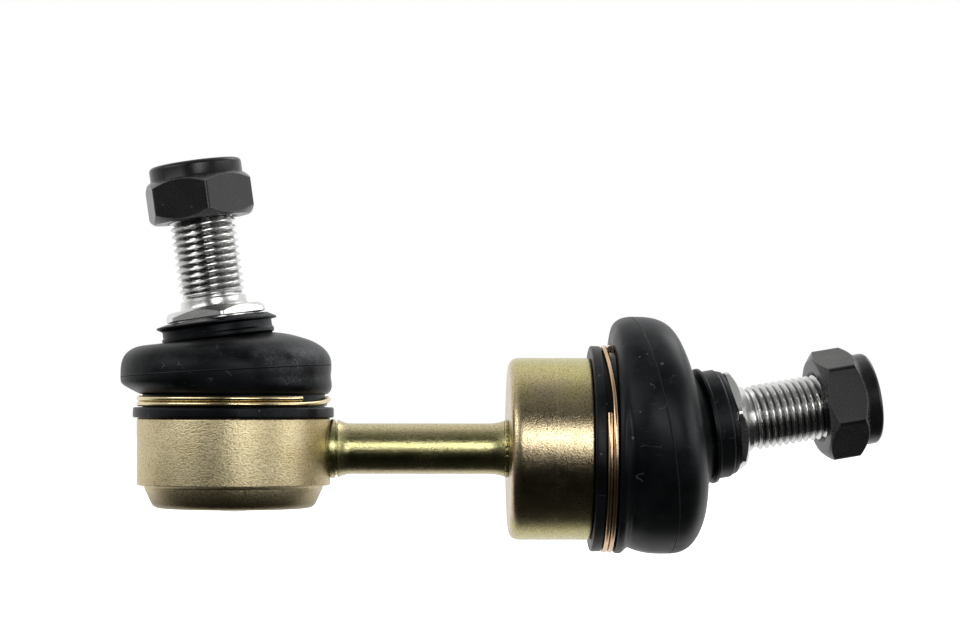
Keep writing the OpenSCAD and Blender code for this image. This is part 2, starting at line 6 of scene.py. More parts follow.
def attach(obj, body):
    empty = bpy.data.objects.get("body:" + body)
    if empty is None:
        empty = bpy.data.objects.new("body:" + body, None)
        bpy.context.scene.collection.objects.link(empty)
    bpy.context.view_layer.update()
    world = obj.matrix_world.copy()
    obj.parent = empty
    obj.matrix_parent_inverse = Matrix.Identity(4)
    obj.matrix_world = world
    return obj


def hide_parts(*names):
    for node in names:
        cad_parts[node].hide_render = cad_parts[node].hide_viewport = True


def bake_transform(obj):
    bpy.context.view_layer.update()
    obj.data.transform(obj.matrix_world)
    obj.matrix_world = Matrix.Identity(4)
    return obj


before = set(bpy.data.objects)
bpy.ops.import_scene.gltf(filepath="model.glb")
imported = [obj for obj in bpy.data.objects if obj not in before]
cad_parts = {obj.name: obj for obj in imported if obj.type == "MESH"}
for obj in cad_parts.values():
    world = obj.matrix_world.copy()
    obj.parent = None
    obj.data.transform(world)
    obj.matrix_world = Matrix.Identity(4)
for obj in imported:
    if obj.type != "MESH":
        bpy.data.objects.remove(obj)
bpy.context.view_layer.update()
print("frame loaded:", len(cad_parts), "nodes")

# Places of the two joints, in millimetres and degrees
link = {"ballSpacing": 61.0, "leftSeat": 25.75, "leftLean": 8.0, "rightLean": 11.6, "rightHeading": 36.0}
mm = Matrix.Scale(0.001, 4)


def turned(angle, axis):
    return Matrix.Rotation(math.radians(angle), 4, axis)


leftAxis = Vector((-math.sin(math.radians(link["leftLean"])), 0, math.cos(math.radians(link["leftLean"]))))
leftBall = -link["leftSeat"] * leftAxis
rightBall = leftBall + Vector((link["ballSpacing"], 0, 0))
leftJoint = Matrix.Translation(leftBall) @ turned(180, "Z")
rightJoint = Matrix.Translation(rightBall) @ turned(90, "Y") @ turned(180 - link["rightHeading"], "Z")
leftStudFrame = leftJoint @ turned(link["leftLean"], "Y")
rightStudFrame = rightJoint @ turned(link["rightLean"], "Y")
rodFrame = Matrix.Translation(leftBall) @ turned(90, "Y")


# Node helpers

def put(tree, kind, inputs=None, **settings):
    made = tree.nodes.new(kind)
    for name, value in settings.items():
        setattr(made, name, value)
    for name, value in (inputs or {}).items():
        feed(made.inputs[name], value)
    return made


# Sockets know their tree
def feed(socket, value):
    if isinstance(value, bpy.types.NodeSocket):
        socket.id_data.links.new(value, socket)
    else:
        socket.default_value = value


def calc(operation, *terms, clamp=False):
    tree = next(term.id_data for term in terms if isinstance(term, bpy.types.NodeSocket))
    return put(tree, "ShaderNodeMath", dict(enumerate(terms)), operation=operation, use_clamp=clamp).outputs[0]


def times(first, second):
    return calc("MULTIPLY", first, second)


def plus(first, second):
    return calc("ADD", first, second)


def minus(first, second):
    return calc("SUBTRACT", first, second)


def between(value, low, high, fromLow=0.0, fromHigh=1.0, kind="LINEAR"):
    sockets = {0: value, 1: fromLow, 2: fromHigh, 3: low, 4: high}
    return put(value.id_data, "ShaderNodeMapRange", sockets, interpolation_type=kind, clamp=True).outputs[0]


def mixed(share, first, second):
    return put(share.id_data, "ShaderNodeMix", {0: share, 6: first, 7: second}, data_type="RGBA").outputs[2]


def noise(vector, scale, detail, rough=0.5):
    sockets = {"Vector": vector, "Scale": scale, "Detail": detail, "Roughness": rough}
    return put(vector.id_data, "ShaderNodeTexNoise", sockets).outputs[0]


floatKind = "NodeSocketFloat"


# Shader group that takes a place and named numbers, and gives named masks
def groupTree(name, inputs, outputs):
    tree = bpy.data.node_groups.new(name, "ShaderNodeTree")
    tree.interface.new_socket("Vector", in_out="INPUT", socket_type="NodeSocketVector")
    for label, value in inputs.items():
        tree.interface.new_socket(label, in_out="INPUT", socket_type=floatKind).default_value = value
    for label in outputs:
        tree.interface.new_socket(label, in_out="OUTPUT", socket_type=floatKind)
    return tree, tree.nodes.new("NodeGroupInput").outputs, tree.nodes.new("NodeGroupOutput").inputs


# Fine grain: a height for bump and a mask of scattered darker grains
def makeGrain():
    tree, given, result = groupTree("surfaceGrain", {"Grain per Metre": 3000.0, "Speck Amount": 0.5},
                                    ("Height", "Specks", "Patches"))
    size = given["Grain per Metre"]
    fine = noise(given["Vector"], size, 3.0, 0.65)
    specks = noise(given["Vector"], times(size, 0.62), 2.0)
    patches = noise(given["Vector"], times(size, 0.045), 4.0, 0.6)
    limit = between(given["Speck Amount"], 0.72, 0.48)
    speckMask = between(specks, 0.0, 1.0, limit, plus(limit, 0.1), "SMOOTHSTEP")
    feed(result["Height"], fine)
    feed(result["Specks"], speckMask)
    feed(result["Patches"], between(patches, 0.0, 1.0, 0.32, 0.68))
    return tree


# Thin scratches in three directions, as one mask
def makeScratches():
    tree, given, result = groupTree("hairScratches", {"Size": 1.0, "Amount": 0.5}, ("Mask",))
    total = None
    for index, angles in enumerate(((0.5, 0.2, 0.9), (1.9, 1.1, 0.3), (0.1, 2.3, 1.7))):
        place = put(tree, "ShaderNodeMapping",
                    {"Vector": given["Vector"], "Rotation": angles, "Scale": (60.0, 2600.0, 2600.0),
                     "Location": (index * 1.7, 0.3, 0.9)})
        streaks = noise(place.outputs[0], given["Size"], 1.0)
        limit = between(given["Amount"], 0.80, 0.60)
        mask = between(streaks, 0.0, 1.0, limit, plus(limit, 0.06))
        total = mask if total is None else calc("MAXIMUM", total, mask)
    feed(result["Mask"], total)
    return tree


# Dust: tiny dots, soft clouds and short fibres
def makeDust():
    tree, given, result = groupTree("settledDust", {"Dots per Metre": 900.0, "Amount": 0.5},
                                    ("Dots", "Clouds", "Fibres"))
    cells = put(tree, "ShaderNodeTexVoronoi",
                {"Vector": given["Vector"], "Scale": given["Dots per Metre"], "Randomness": 1.0})
    pick = put(tree, "ShaderNodeSeparateColor", {"Color": cells.outputs["Color"]})
    radius = times(calc("POWER", pick.outputs[1], 4.0), 0.2)
    chosen = calc("LESS_THAN", pick.outputs[0], times(given["Amount"], 0.5))
    dots = times(chosen, calc("LESS_THAN", cells.outputs["Distance"], radius))
    clouds = noise(given["Vector"], 130.0, 6.0, 0.65)
    bend = put(tree, "ShaderNodeTexNoise", {"Vector": given["Vector"], "Scale": 260.0, "Detail": 1.0})
    sway = put(tree, "ShaderNodeVectorMath", {0: bend.outputs["Color"], 1: (0.004, 0.004, 0.004)}, operation="MULTIPLY")
    swayed = put(tree, "ShaderNodeVectorMath", {0: given["Vector"], 1: sway.outputs[0]}, operation="ADD")
    lines = put(tree, "ShaderNodeTexVoronoi", {"Vector": swayed.outputs[0], "Scale": 190.0}, feature="DISTANCE_TO_EDGE")
    gate = noise(given["Vector"], 420.0, 0.0)
    fibres = times(calc("LESS_THAN", lines.outputs["Distance"], 0.005), between(gate, 0.0, 1.0, 0.68, 0.72))
    feed(result["Dots"], dots)
    feed(result["Clouds"], between(clouds, 0.0, 1.0, 0.42, 0.75))
    feed(result["Fibres"], fibres)
    return tree


grainGroup, scratchGroup, dustGroup = makeGrain(), makeScratches(), makeDust()


def effect(group, place, **inputs):
    sockets = {name.replace("_", " "): value for name, value in inputs.items()}
    return put(place.id_data, "ShaderNodeGroup", {"Vector": place, **sockets}, node_tree=group).outputs


def newFinish(name):
    material = bpy.data.materials.new(name)
    material.use_nodes = True
    tree = material.node_tree
    tree.nodes.clear()
    surface = put(tree, "ShaderNodeBsdfPrincipled")
    put(tree, "ShaderNodeOutputMaterial", {"Surface": surface.outputs[0]})
    place = put(tree, "ShaderNodeTexCoord").outputs["Object"]
    return material, tree, surface, place


def dress(surface, colour, rough, metallic):
    for name, value in (("Base Color", colour), ("Roughness", rough), ("Metallic", metallic)):
        feed(surface.inputs[name], value)


def bump(surface, height, strength, distance):
    sockets = {"Height": height, "Strength": strength, "Distance": distance}
    feed(surface.inputs["Normal"], put(surface.id_data, "ShaderNodeBump", sockets).outputs[0])


# Which way the surface faces: its share to the right, to the back and up
def facingOf(tree):
    return put(tree, "ShaderNodeSeparateXYZ", {0: put(tree, "ShaderNodeTexCoord").outputs["Normal"]}).outputs


def readValue(tree, name):
    return put(tree, "ShaderNodeAttribute", attribute_name=name).outputs["Fac"]


# Blasted yellow zinc of the left housing: a wavy grain, flatter than wide, and darker pits; painted shade darkens the
# rolled bottom rim
blastedZincLook = {"light": (0.82, 0.71, 0.45, 1), "dark": (0.68, 0.56, 0.32, 1), "pit": (0.22, 0.165, 0.075, 1),
                   "grain": 2300.0, "flatten": (1.0, 1.0, 1.7), "rim": (-0.0352, -0.0322),
                   "rimPaintedShade": (0.16, 0.125, 0.05, 1)}


def makeBlastedZinc(look):
    material, tree, surface, place = newFinish("blastedZinc")
    flat = put(tree, "ShaderNodeMapping", {"Vector": place, "Scale": look["flatten"]}).outputs[0]
    grain = effect(grainGroup, flat, Grain_per_Metre=look["grain"], Speck_Amount=0.3)
    colour = mixed(grain["Patches"], look["light"], look["dark"])
    colour = mixed(between(grain["Height"], 0.55, 0.0, 0.36, 0.52), colour, look["pit"])
    colour = mixed(times(grain["Specks"], 0.35), colour, look["pit"])
    height = put(tree, "ShaderNodeSeparateXYZ", {0: place}).outputs[2]
    # Painted shade: the down-facing bottom rim is darkened towards its lower edge
    colour = mixed(between(height, 0.75, 0.0, *look["rim"]), colour, look["rimPaintedShade"])
    dress(surface, colour, between(grain["Height"], 0.34, 0.44, 0.3, 0.7), 1.0)
    bump(surface, grain["Height"], 0.75, 0.0001)
    return material


# Smooth yellow zinc of the rod and the right housing: its hue goes from the front
# to the upper and lower sides, and welds are dark
brightZincLook = {"dark": (0.20, 0.16, 0.06, 1), "weld": (0.02, 0.018, 0.012, 1), "scratch": (0.80, 0.74, 0.52, 1),
                  "mark": 0.0616}
rodZincLook = {**brightZincLook, "front": (0.60, 0.57, 0.27, 1), "sides": (0.62, 0.54, 0.32, 1)}
cupZincLook = {**brightZincLook, "front": (0.60, 0.49, 0.31, 1), "sides": (0.60, 0.54, 0.24, 1)}


def makeBrightZinc(name, look):
    material, tree, surface, place = newFinish(name)
    grain = effect(grainGroup, place, Grain_per_Metre=4200.0, Speck_Amount=0.3)
    lines = effect(scratchGroup, place, Size=1.0, Amount=0.25)["Mask"]
    heat = readValue(tree, "heat")
    upward = facingOf(tree)[2]
    hue = noise(place, 95.0, 3.0, 0.6)
    slope = plus(calc("ABSOLUTE", upward), calc("MULTIPLY_ADD", hue, 1.2, -0.6))
    colour = mixed(between(slope, 0.0, 1.0, 0.4, 0.8), look["front"], look["sides"])
    colour = mixed(between(grain["Height"], 0.8, 0.0, 0.38, 0.51), colour, look["dark"])
    colour = mixed(times(grain["Specks"], 0.3), colour, look["dark"])
    colour = mixed(times(lines, 0.4), colour, look["scratch"])
    along = put(tree, "ShaderNodeSeparateXYZ", {0: place}).outputs[0]
    drawMark = between(calc("ABSOLUTE", minus(along, look["mark"])), 0.4, 0.0, 0.00006, 0.0002)
    colour = mixed(times(drawMark, hue), colour, look["scratch"])
    colour = mixed(between(plus(heat, times(grain["Specks"], -0.3)), 0.0, 1.0, 0.25, 0.95), colour, look["weld"])
    rough = plus(between(grain["Patches"], 0.21, 0.29), times(lines, 0.05))
    dress(surface, colour, plus(rough, times(heat, 0.3)), 1.0)
    bump(surface, plus(times(grain["Patches"], 0.12), grain["Height"]), 0.55, 0.00006)
    return material


# Bright steel of the studs and the cap; thread roots get painted shade, and dark specks are scattered
bareSteelLook = {"light": (0.80, 0.80, 0.78, 1), "dull": (0.60, 0.60, 0.59, 1), "rootShadeAndSpeck": (0.10, 0.10, 0.10, 1),
                 "rust": (0.30, 0.15, 0.07, 1)}


def makeBareSteel(look):
    material, tree, surface, place = newFinish("bareSteel")
    grain = effect(grainGroup, place, Grain_per_Metre=2400.0, Speck_Amount=0.2)
    lines = effect(scratchGroup, place, Size=1.3, Amount=0.3)["Mask"]
    groove = readValue(tree, "groove")
    colour = mixed(grain["Patches"], look["light"], look["dull"])
    # Painted shade darkens the thread roots, deeper towards the root
    colour = mixed(times(between(groove, 0.0, 1.0, 0.6, 0.98), 0.85), colour, look["rootShadeAndSpeck"])
    rust = noise(place, 340.0, 5.0, 0.7)
    colour = mixed(between(rust, 0.0, 0.7, 0.68, 0.74), colour, look["rust"])
    colour = mixed(times(grain["Specks"], 0.4), colour, look["rootShadeAndSpeck"])
    satin = between(groove, 0.06, 0.0, -1.0, -0.5)
    rough = plus(between(grain["Patches"], 0.18, 0.28), calc("MULTIPLY_ADD", lines, 0.15, satin))
    dress(surface, colour, rough, 1.0)
    bump(surface, grain["Height"], 0.2, 0.00008)
    return material


# Black rubber of the boots, with a moulding seam (painted shade in its crease, a painted highlight on its ridge), dust
# and lint, and painted sheen on upward and side faces
bootRubberLook = {"deep": (0.0010, 0.0011, 0.0012, 1), "worn": (0.0035, 0.0038, 0.0043, 1),
                  "dustAndSheen": (0.10, 0.106, 0.115, 1), "shadedCrease": (0.0004, 0.0004, 0.0004, 1)}
leftRubberLook = {**bootRubberLook, "shine": 0.12, "topDustAndSheen": 0.22, "scuffsAndSideSheen": 1.05}
rightRubberLook = {**bootRubberLook, "shine": 0.19, "topDustAndSheen": 0.22, "scuffsAndSideSheen": 0.0}


def makeBootRubber(name, look):
    material, tree, surface, place = newFinish(name)
    grain = effect(grainGroup, place, Grain_per_Metre=2600.0, Speck_Amount=0.3)
    dustAndSheen = effect(dustGroup, place, Dots_per_Metre=700.0, Amount=0.7)
    lines = effect(scratchGroup, place, Size=0.8, Amount=0.35)["Mask"]
    girth = readValue(tree, "girth")
    shadedCrease = between(calc("ABSOLUTE", girth), 1.0, 0.0, 0.03, 0.09)
    ridge = between(calc("ABSOLUTE", minus(girth, 0.16)), 1.0, 0.0, 0.0, 0.1)
    colour = mixed(grain["Patches"], look["deep"], look["worn"])
    facing = facingOf(tree)
    aside, upward = facing[0], facing[2]
    # Scuffs and painted sheen: faces turned to the right, and half as much those turned to the left, get lighter
    sideways = plus(between(aside, 0.0, look["scuffsAndSideSheen"], 0.05, 0.75, "SMOOTHSTEP"),
                    between(aside, 0.5 * look["scuffsAndSideSheen"], 0.0, -0.95, -0.35))
    scuffsAndSideSheen = times(sideways, between(upward, 0.0, 1.0, -0.3, 0.4))
    scuffsAndSideSheen = times(scuffsAndSideSheen, between(grain["Height"], 0.15, 1.6, 0.3, 0.7))
    # Dust on upward faces together with painted sheen, plus the side scuffs with their painted sheen
    topDustAndSheen = times(dustAndSheen["Clouds"], plus(between(upward, 0.02, look["topDustAndSheen"], 0.1, 0.8), scuffsAndSideSheen))
    colour = mixed(topDustAndSheen, colour, look["dustAndSheen"])
    colour = mixed(times(lines, 0.12), colour, look["dustAndSheen"])
    # Painted highlight: a lighter band along the seam's ridge
    colour = mixed(times(ridge, 0.16), colour, look["dustAndSheen"])
    # Painted shade in the seam's crease
    colour = mixed(shadedCrease, colour, look["shadedCrease"])
    colour = mixed(times(dustAndSheen["Dots"], 0.6), colour, look["dustAndSheen"])
    colour = mixed(times(dustAndSheen["Fibres"], 0.5), colour, look["dustAndSheen"])
    rough = plus(between(grain["Patches"], 0.31, 0.39), times(dustAndSheen["Clouds"], 0.12))
    dress(surface, colour, plus(rough, times(shadedCrease, 0.4)), 0.0)
    surface.inputs["Specular IOR Level"].default_value = look["shine"]
    surface.inputs["Specular Tint"].default_value = (0.88, 0.96, 1.0, 1)
    bump(surface, plus(times(grain["Height"], 0.3), minus(ridge, shadedCrease)), 0.4, 0.00008)
    return material


# Black phosphated nuts; edges are worn and dusty, and upward faces get dust with a painted reflection
nutSteelLook = {"deep": (0.003, 0.003, 0.0033, 1), "grey": (0.009, 0.009, 0.0095, 1), "worn": (0.09, 0.09, 0.09, 1),
                "dustAndSheen": (0.085, 0.082, 0.072, 1)}


def makeNutSteel(look):
    material, tree, surface, place = newFinish("nutSteel")
    grain = effect(grainGroup, place, Grain_per_Metre=3000.0, Speck_Amount=0.35)
    dustAndSheen = effect(dustGroup, place, Dots_per_Metre=1100.0, Amount=0.5)
    wear = readValue(tree, "wear")
    edge = between(plus(wear, times(minus(grain["Height"], 0.5), 1.2)), 0.0, 1.0, 0.45, 1.0)
    colour = mixed(grain["Patches"], look["deep"], look["grey"])
    colour = mixed(times(edge, 0.55), colour, look["worn"])
    upward = facingOf(tree)[2]
    # Upward faces lighter: dust and a painted reflection
    topDustAndSheen = times(between(upward, 0.0, 0.5, 0.3, 0.9), grain["Patches"])
    colour = mixed(topDustAndSheen, colour, look["dustAndSheen"])
    colour = mixed(times(dustAndSheen["Dots"], 0.6), colour, look["worn"])
    dress(surface, colour, between(grain["Height"], 0.22, 0.32, 0.3, 0.7), 0.1)
    surface.inputs["Specular IOR Level"].default_value = 0.34
    bump(surface, grain["Height"], 0.1, 0.00003)
    return material


# Brass-coloured spring wire of the base clips; one is more coppery
def makeClipWire(name, light, dark):
    material, _, surface, place = newFinish(name)
    grain = effect(grainGroup, place, Grain_per_Metre=4200.0, Speck_Amount=0.35)
    colour = mixed(grain["Patches"], light, dark)
    colour = mixed(times(grain["Specks"], 0.5), colour, (0.08, 0.05, 0.03, 1))
    dress(surface, colour, between(grain["Height"], 0.14, 0.26, 0.3, 0.7), 1.0)
    bump(surface, grain["Height"], 0.15, 0.00005)
    return material


# Plain moulded or drawn finishes of the inner pieces
def makeInnerFinish(name, light, dark, metallic, roughLow, roughHigh):
    material, _, surface, place = newFinish(name)
    grain = effect(grainGroup, place, Grain_per_Metre=1900.0, Speck_Amount=0.2)
    lines = effect(scratchGroup, place, Size=1.0, Amount=0.3)["Mask"]
    colour = mixed(calc("MAXIMUM", grain["Patches"], lines), light, dark)
    dress(surface, colour, between(grain["Height"], roughLow, roughHigh, 0.3, 0.7), metallic)
    bump(surface, grain["Height"], 0.1, 0.00005)
    return material


blastedZinc = makeBlastedZinc(blastedZincLook)
rodZinc = makeBrightZinc("rodZinc", rodZincLook)
cupZinc = makeBrightZinc("cupZinc", cupZincLook)
bareSteel = makeBareSteel(bareSteelLook)
leftRubber = makeBootRubber("leftBootRubber", leftRubberLook)
rightRubber = makeBootRubber("rightBootRubber", rightRubberLook)
nutSteel = makeNutSteel(nutSteelLook)
leftClipWire = makeClipWire("leftClipWire", (0.84, 0.73, 0.46, 1), (0.66, 0.52, 0.27, 1))
rightClipWire = makeClipWire("rightClipWire", (0.80, 0.58, 0.38, 1), (0.58, 0.38, 0.20, 1))
lipWire = makeInnerFinish("lipWire", (0.006, 0.006, 0.006, 1), (0.012, 0.012, 0.012, 1), 0.3, 0.45, 0.6)
ringSteel = makeInnerFinish("ringSteel", (0.68, 0.69, 0.70, 1), (0.54, 0.55, 0.56, 1), 1.0, 0.25, 0.4)
seatPlastic = makeInnerFinish("seatPlastic", (0.80, 0.78, 0.71, 1), (0.72, 0.70, 0.62, 1), 0.0, 0.35, 0.5)
insertNylon = makeInnerFinish("insertNylon", (0.76, 0.78, 0.80, 1), (0.68, 0.70, 0.73, 1), 0.0, 0.3, 0.42)
print("finishes made:", len(bpy.data.materials))


# Mesh helpers

# Rounds the corners of an outline that carry a radius as their third number
def rounded(points, steps=5):
    result = []
    for index, point in enumerate(points):
        if len(point) < 3 or index in (0, len(points) - 1):
            result.append((point[0], point[1]))
            continue
        before, corner, after = (Vector(points[index + step][:2]) for step in (-1, 0, 1))
        toBefore, toAfter = before - corner, after - corner
        reach = point[2] / math.tan(max(0.1, toBefore.angle(toAfter)) / 2)
        reach = min(reach, 0.48 * toBefore.length, 0.48 * toAfter.length)
        start, end = corner + toBefore.normalized() * reach, corner + toAfter.normalized() * reach
        for step in range(steps + 1):
            t = step / steps
            result.append(tuple((1 - t) ** 2 * start + 2 * t * (1 - t) * corner + t * t * end))
    return result


def arcPoints(centre, radius, fromAngle, toAngle, steps=8):
    angles = [math.radians(fromAngle + (toAngle - fromAngle) * i / steps) for i in range(steps + 1)]
    return [(centre[0] + radius * math.cos(a), centre[1] + radius * math.sin(a)) for a in angles]


# Sweeps columns of points round an axis. columnAt gives the points (x, y, z, values...) of one column
def sweptMesh(name, columnAt, columns, looped, valueNames=()):
    mesh = bpy.data.meshes.new(name)
    points, values = [], []
    for i in range(columns):
        for point in columnAt(2 * math.pi * i / columns):
            points.append(point[:3])
            values.append(point[3:])
    rows = len(points) // columns
    faces = []
    for i in range(columns):
        k = (i + 1) % columns
        for j in range(rows if looped else rows - 1):
            n = (j + 1) % rows
            faces.append((i * rows + j, k * rows + j, k * rows + n, i * rows + n))
    mesh.from_pydata(points, [], faces)
    for index, label in enumerate(valueNames):
        layer = mesh.attributes.new(label, "FLOAT", "POINT")
        layer.data.foreach_set("value", np.array([v[index] for v in values], np.float32))
    return mesh


def spunMesh(name, outline, columns, looped, valueName=None, valueAt=None):
    def columnAt(turn):
        c, s = math.cos(turn), math.sin(turn)
        return [(r * c, r * s, z) + ((valueAt(r, z, turn),) if valueName else ()) for r, z in outline]
    return sweptMesh(name, columnAt, columns, looped, (valueName,) if valueName else ())


# Merges doubles, turns faces outwards, moves the mesh to its place and gives it an object
def asPiece(name, mesh, place, material, sharpAngle=35.0):
    shell = bmesh.new()
    shell.from_mesh(mesh)
    bmesh.ops.remove_doubles(shell, verts=shell.verts, dist=0.0004)
    bmesh.ops.dissolve_degenerate(shell, edges=shell.edges, dist=0.0002)
    bmesh.ops.recalc_face_normals(shell, faces=shell.faces)
    shell.to_mesh(mesh)
    shell.free()
    mesh.transform(mm @ place)
    mesh.shade_smooth()
    mesh.set_sharp_from_angle(angle=math.radians(sharpAngle))
    mesh.materials.clear()
    mesh.materials.append(material)
    made = bpy.data.objects.new(name, mesh)
    bpy.context.scene.collection.objects.link(made)
    return made


def joinedMesh(name, meshes):
    shell = bmesh.new()
    for mesh in meshes:
        shell.from_mesh(mesh)
    result = bpy.data.meshes.new(name)
    shell.to_mesh(result)
    shell.free()
    return result


# Left housing: turned body, groove and bead for the boot, rolled bottom rim
leftHousing = {"radius": 17.5, "top": 5.6, "bottom": -6.6, "neckTop": 9.7, "rimBottom": -10.7, "rimTopRadius": 16.1,
               "rimRadius": 15.1, "opening": 10.5, "seatRadius": 11.65, "capRadius": 12.25, "edge": 0.45,
               "stepRound": 0.6, "rimRound": 1.7, "mouth": 10.1, "bead": 14.6, "beadFoot": 8.8, "groove": 14.0,
               "grooveTop": 8.6, "capFoot": -10.15, "capTop": -8.5, "roof": 5.1, "roofRadius": 8.0, "columns": 160}


def makeLeftHousing(size):
    stepCentre = (size["rimTopRadius"] + size["stepRound"], size["bottom"] - size["stepRound"])
    rimCentre = (size["rimRadius"] - size["rimRound"], size["rimBottom"] + size["rimRound"])
    outline = rounded([(size["mouth"], size["neckTop"]), (size["bead"], size["neckTop"], 0.4),
                       (size["bead"], size["beadFoot"], 0.2), (size["groove"], size["grooveTop"]),
                       (size["groove"], size["top"]), (size["radius"], size["top"], size["edge"]),
                       (size["radius"], size["bottom"], size["edge"]), (stepCentre[0] + 0.05, size["bottom"])])
    outline += arcPoints(stepCentre, size["stepRound"], 90, 180, 10)
    outline += arcPoints(rimCentre, size["rimRound"], -25, -90, 10)
    outline += rounded([(rimCentre[0] - 0.1, size["rimBottom"]), (size["opening"], size["rimBottom"], 0.35),
                        (size["opening"], size["capFoot"]), (size["capRadius"], size["capFoot"]),
                        (size["capRadius"], size["capTop"]), (size["seatRadius"], size["capTop"]),
                        (size["seatRadius"], size["roof"]), (size["roofRadius"], size["roof"])])
    return spunMesh("leftHousing", outline, size["columns"], True)


leftHousingPiece = asPiece("leftHousing", makeLeftHousing(leftHousing), leftJoint, blastedZinc)
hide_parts("left_housing")
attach(leftHousingPiece, "link")

# Right housing: drawn cup with a rounded closed back
rightHousing = {"radius": 16.55, "back": -11.2, "backRound": 2.1, "top": 3.6, "neckTop": 7.5, "seatRadius": 11.65,
                "opening": 9.6, "edge": 0.45, "bead": 14.6, "beadFoot": 6.6, "groove": 14.0, "grooveTop": 6.4,
                "ringFoot": 6.55, "floor": -8.5, "well": 4.4, "wellFloor": -9.7, "weldRadius": 5.2, "weldHalf": 0.6,
                "columns": 160}


def makeRightHousing(size):
    outline = rounded([(0, size["back"]), (size["radius"], size["back"], size["backRound"]),
                       (size["radius"], size["top"], size["edge"]), (size["groove"], size["top"]),
                       (size["groove"], size["grooveTop"]), (size["bead"], size["beadFoot"], 0.2),
                       (size["bead"], size["neckTop"], 0.4), (size["opening"], size["neckTop"], 0.2),
                       (size["opening"], size["ringFoot"]), (size["seatRadius"], size["ringFoot"]),
                       (size["seatRadius"], size["floor"]), (size["well"], size["floor"]),
                       (size["well"], size["wellFloor"]), (0, size["wellFloor"])], 8)

    def heatAt(r, z, turn):
        return max(0.0, 1 - abs(r - size["weldRadius"]) / size["weldHalf"]) if z < size["back"] + 0.2 else 0.0

    return spunMesh("rightHousing", outline, size["columns"], False, "heat", heatAt)


rightHousingPiece = asPiece("rightHousing", makeRightHousing(rightHousing), rightJoint, cupZinc)
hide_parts("right_housing")
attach(rightHousingPiece, "link")

# Rod: upset ends, a saddle against the left housing and a rippled weld bead against the right one
rod = {"radius": 4.6, "leftFlare": 5.3, "rightFlare": 5.05, "flareLength": 2.8, "bead": 0.8, "weldRing": 1.15,
       "saddleRadius": 17.52, "rightEnd": 49.78, "lumps": 47, "lumpHeight": 0.16, "flareSteps": 12, "shaftSteps": 24,
       "beadSteps": 8, "columns": 128}


def makeRod(size):
    def columnAt(turn):
        c, s = math.cos(turn), math.sin(turn)
        saddle = math.sqrt(size["saddleRadius"] ** 2 - (size["leftFlare"] * s) ** 2)
        ripple = 0.05 * math.sin(size["lumps"] * turn) + 0.04 * math.sin(29 * turn + 1.0)
        tint = 0.1 + 0.75 * c ** 6
        flare, ring = size["leftFlare"], size["saddleRadius"] + size["weldRing"]
        column = [(0.0, size["saddleRadius"], 1.0), (flare - 0.25, saddle, 1.0), (flare - 0.02, saddle + 0.08, 0.9),
                  (flare + 0.05, saddle + 0.25, tint), (flare + 0.06, (saddle + ring) / 2, tint),
                  (flare, ring - 0.3, tint), (flare - 0.06, ring - 0.25, 1.0), (flare - 0.5, ring - 0.18, 1.0),
                  (flare - 0.5, ring + 0.1, 1.0), (flare - 0.06, ring + 0.17, 1.0), (flare - 0.01, ring + 0.22, 0.0)]
        start = ring + 0.22
        reach = size["flareLength"] + 0.8 - size["weldRing"]
        for i in range(1, size["flareSteps"] + 1):
            share = 1 - i / size["flareSteps"]
            column.append((size["radius"] + (flare - size["radius"]) * share * share,
                           start + reach * i / size["flareSteps"], 0.0))
        end = size["rightEnd"] - size["bead"]
        shaft = end - start - reach - size["flareLength"]
        for i in range(size["shaftSteps"]):
            column.append((size["radius"], start + reach + shaft * (i + 1) / (size["shaftSteps"] + 1), 0.0))
        for i in range(size["flareSteps"] + 1):
            share = i / size["flareSteps"]
            column.append((size["radius"] + (size["rightFlare"] - size["radius"]) * share * share,
                           end - size["flareLength"] * (1 - share), 0.0))
        column += [(size["rightFlare"] - 0.05, end + 0.05, 0.2), (size["rightFlare"] - 0.12, end + 0.08, 0.6)]
        for i in range(1, size["beadSteps"]):
            around = math.pi * i / size["beadSteps"]
            radius = size["rightFlare"] + (size["lumpHeight"] + ripple) * math.sin(around)
            height = end + 0.1 + (size["bead"] - 0.1) * (1 - math.cos(around)) / 2
            column.append((radius, height, 0.95 - 0.5 * max(0.0, math.sin(size["lumps"] * turn + 3 * around))))
        column.append((size["rightFlare"] - 0.1, size["rightEnd"], 1.0))
        column.append((0.0, size["rightEnd"], 1.0))
        return [(r * c, r * s, z, heat) for r, z, heat in column]
    return sweptMesh("linkRod", columnAt, size["columns"], False, ("heat",))


rodPiece = asPiece("linkRod", makeRod(rod), rodFrame, rodZinc, 40)
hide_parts("link_rod")
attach(rodPiece, "link")

# Closing cap under the left housing, with its pressed dome
closingCap = {"radius": 12.2, "top": -8.5, "plate": 1.6, "domeRadius": 5.5, "domeHeight": 1.4, "edge": 0.2,
              "domeEdge": 0.5, "columns": 96}


def makeClosingCap(size):
    sphere = (size["domeRadius"] ** 2 + size["domeHeight"] ** 2) / (2 * size["domeHeight"])
    halfAngle = math.degrees(math.asin(size["domeRadius"] / sphere))
    foot = size["top"] - size["plate"]
    outer = arcPoints((0, foot - size["domeHeight"] + sphere), sphere, -90, -90 + halfAngle, 14)
    inner = arcPoints((0, size["top"] - size["domeHeight"] + sphere), sphere, -90 + halfAngle, -90, 14)
    plate = rounded([outer[-2], (size["domeRadius"], foot, size["domeEdge"]), (size["radius"], foot, size["edge"]),
                     (size["radius"], size["top"], size["edge"]), inner[0]])
    return spunMesh("leftClosingCap", outer[:-1] + plate[1:] + inner[1:], size["columns"], False)


capPiece = asPiece("leftClosingCap", makeClosingCap(closingCap), leftJoint, bareSteel)
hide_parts("left_closing_cap")
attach(capPiece, "link")
print("link body made")


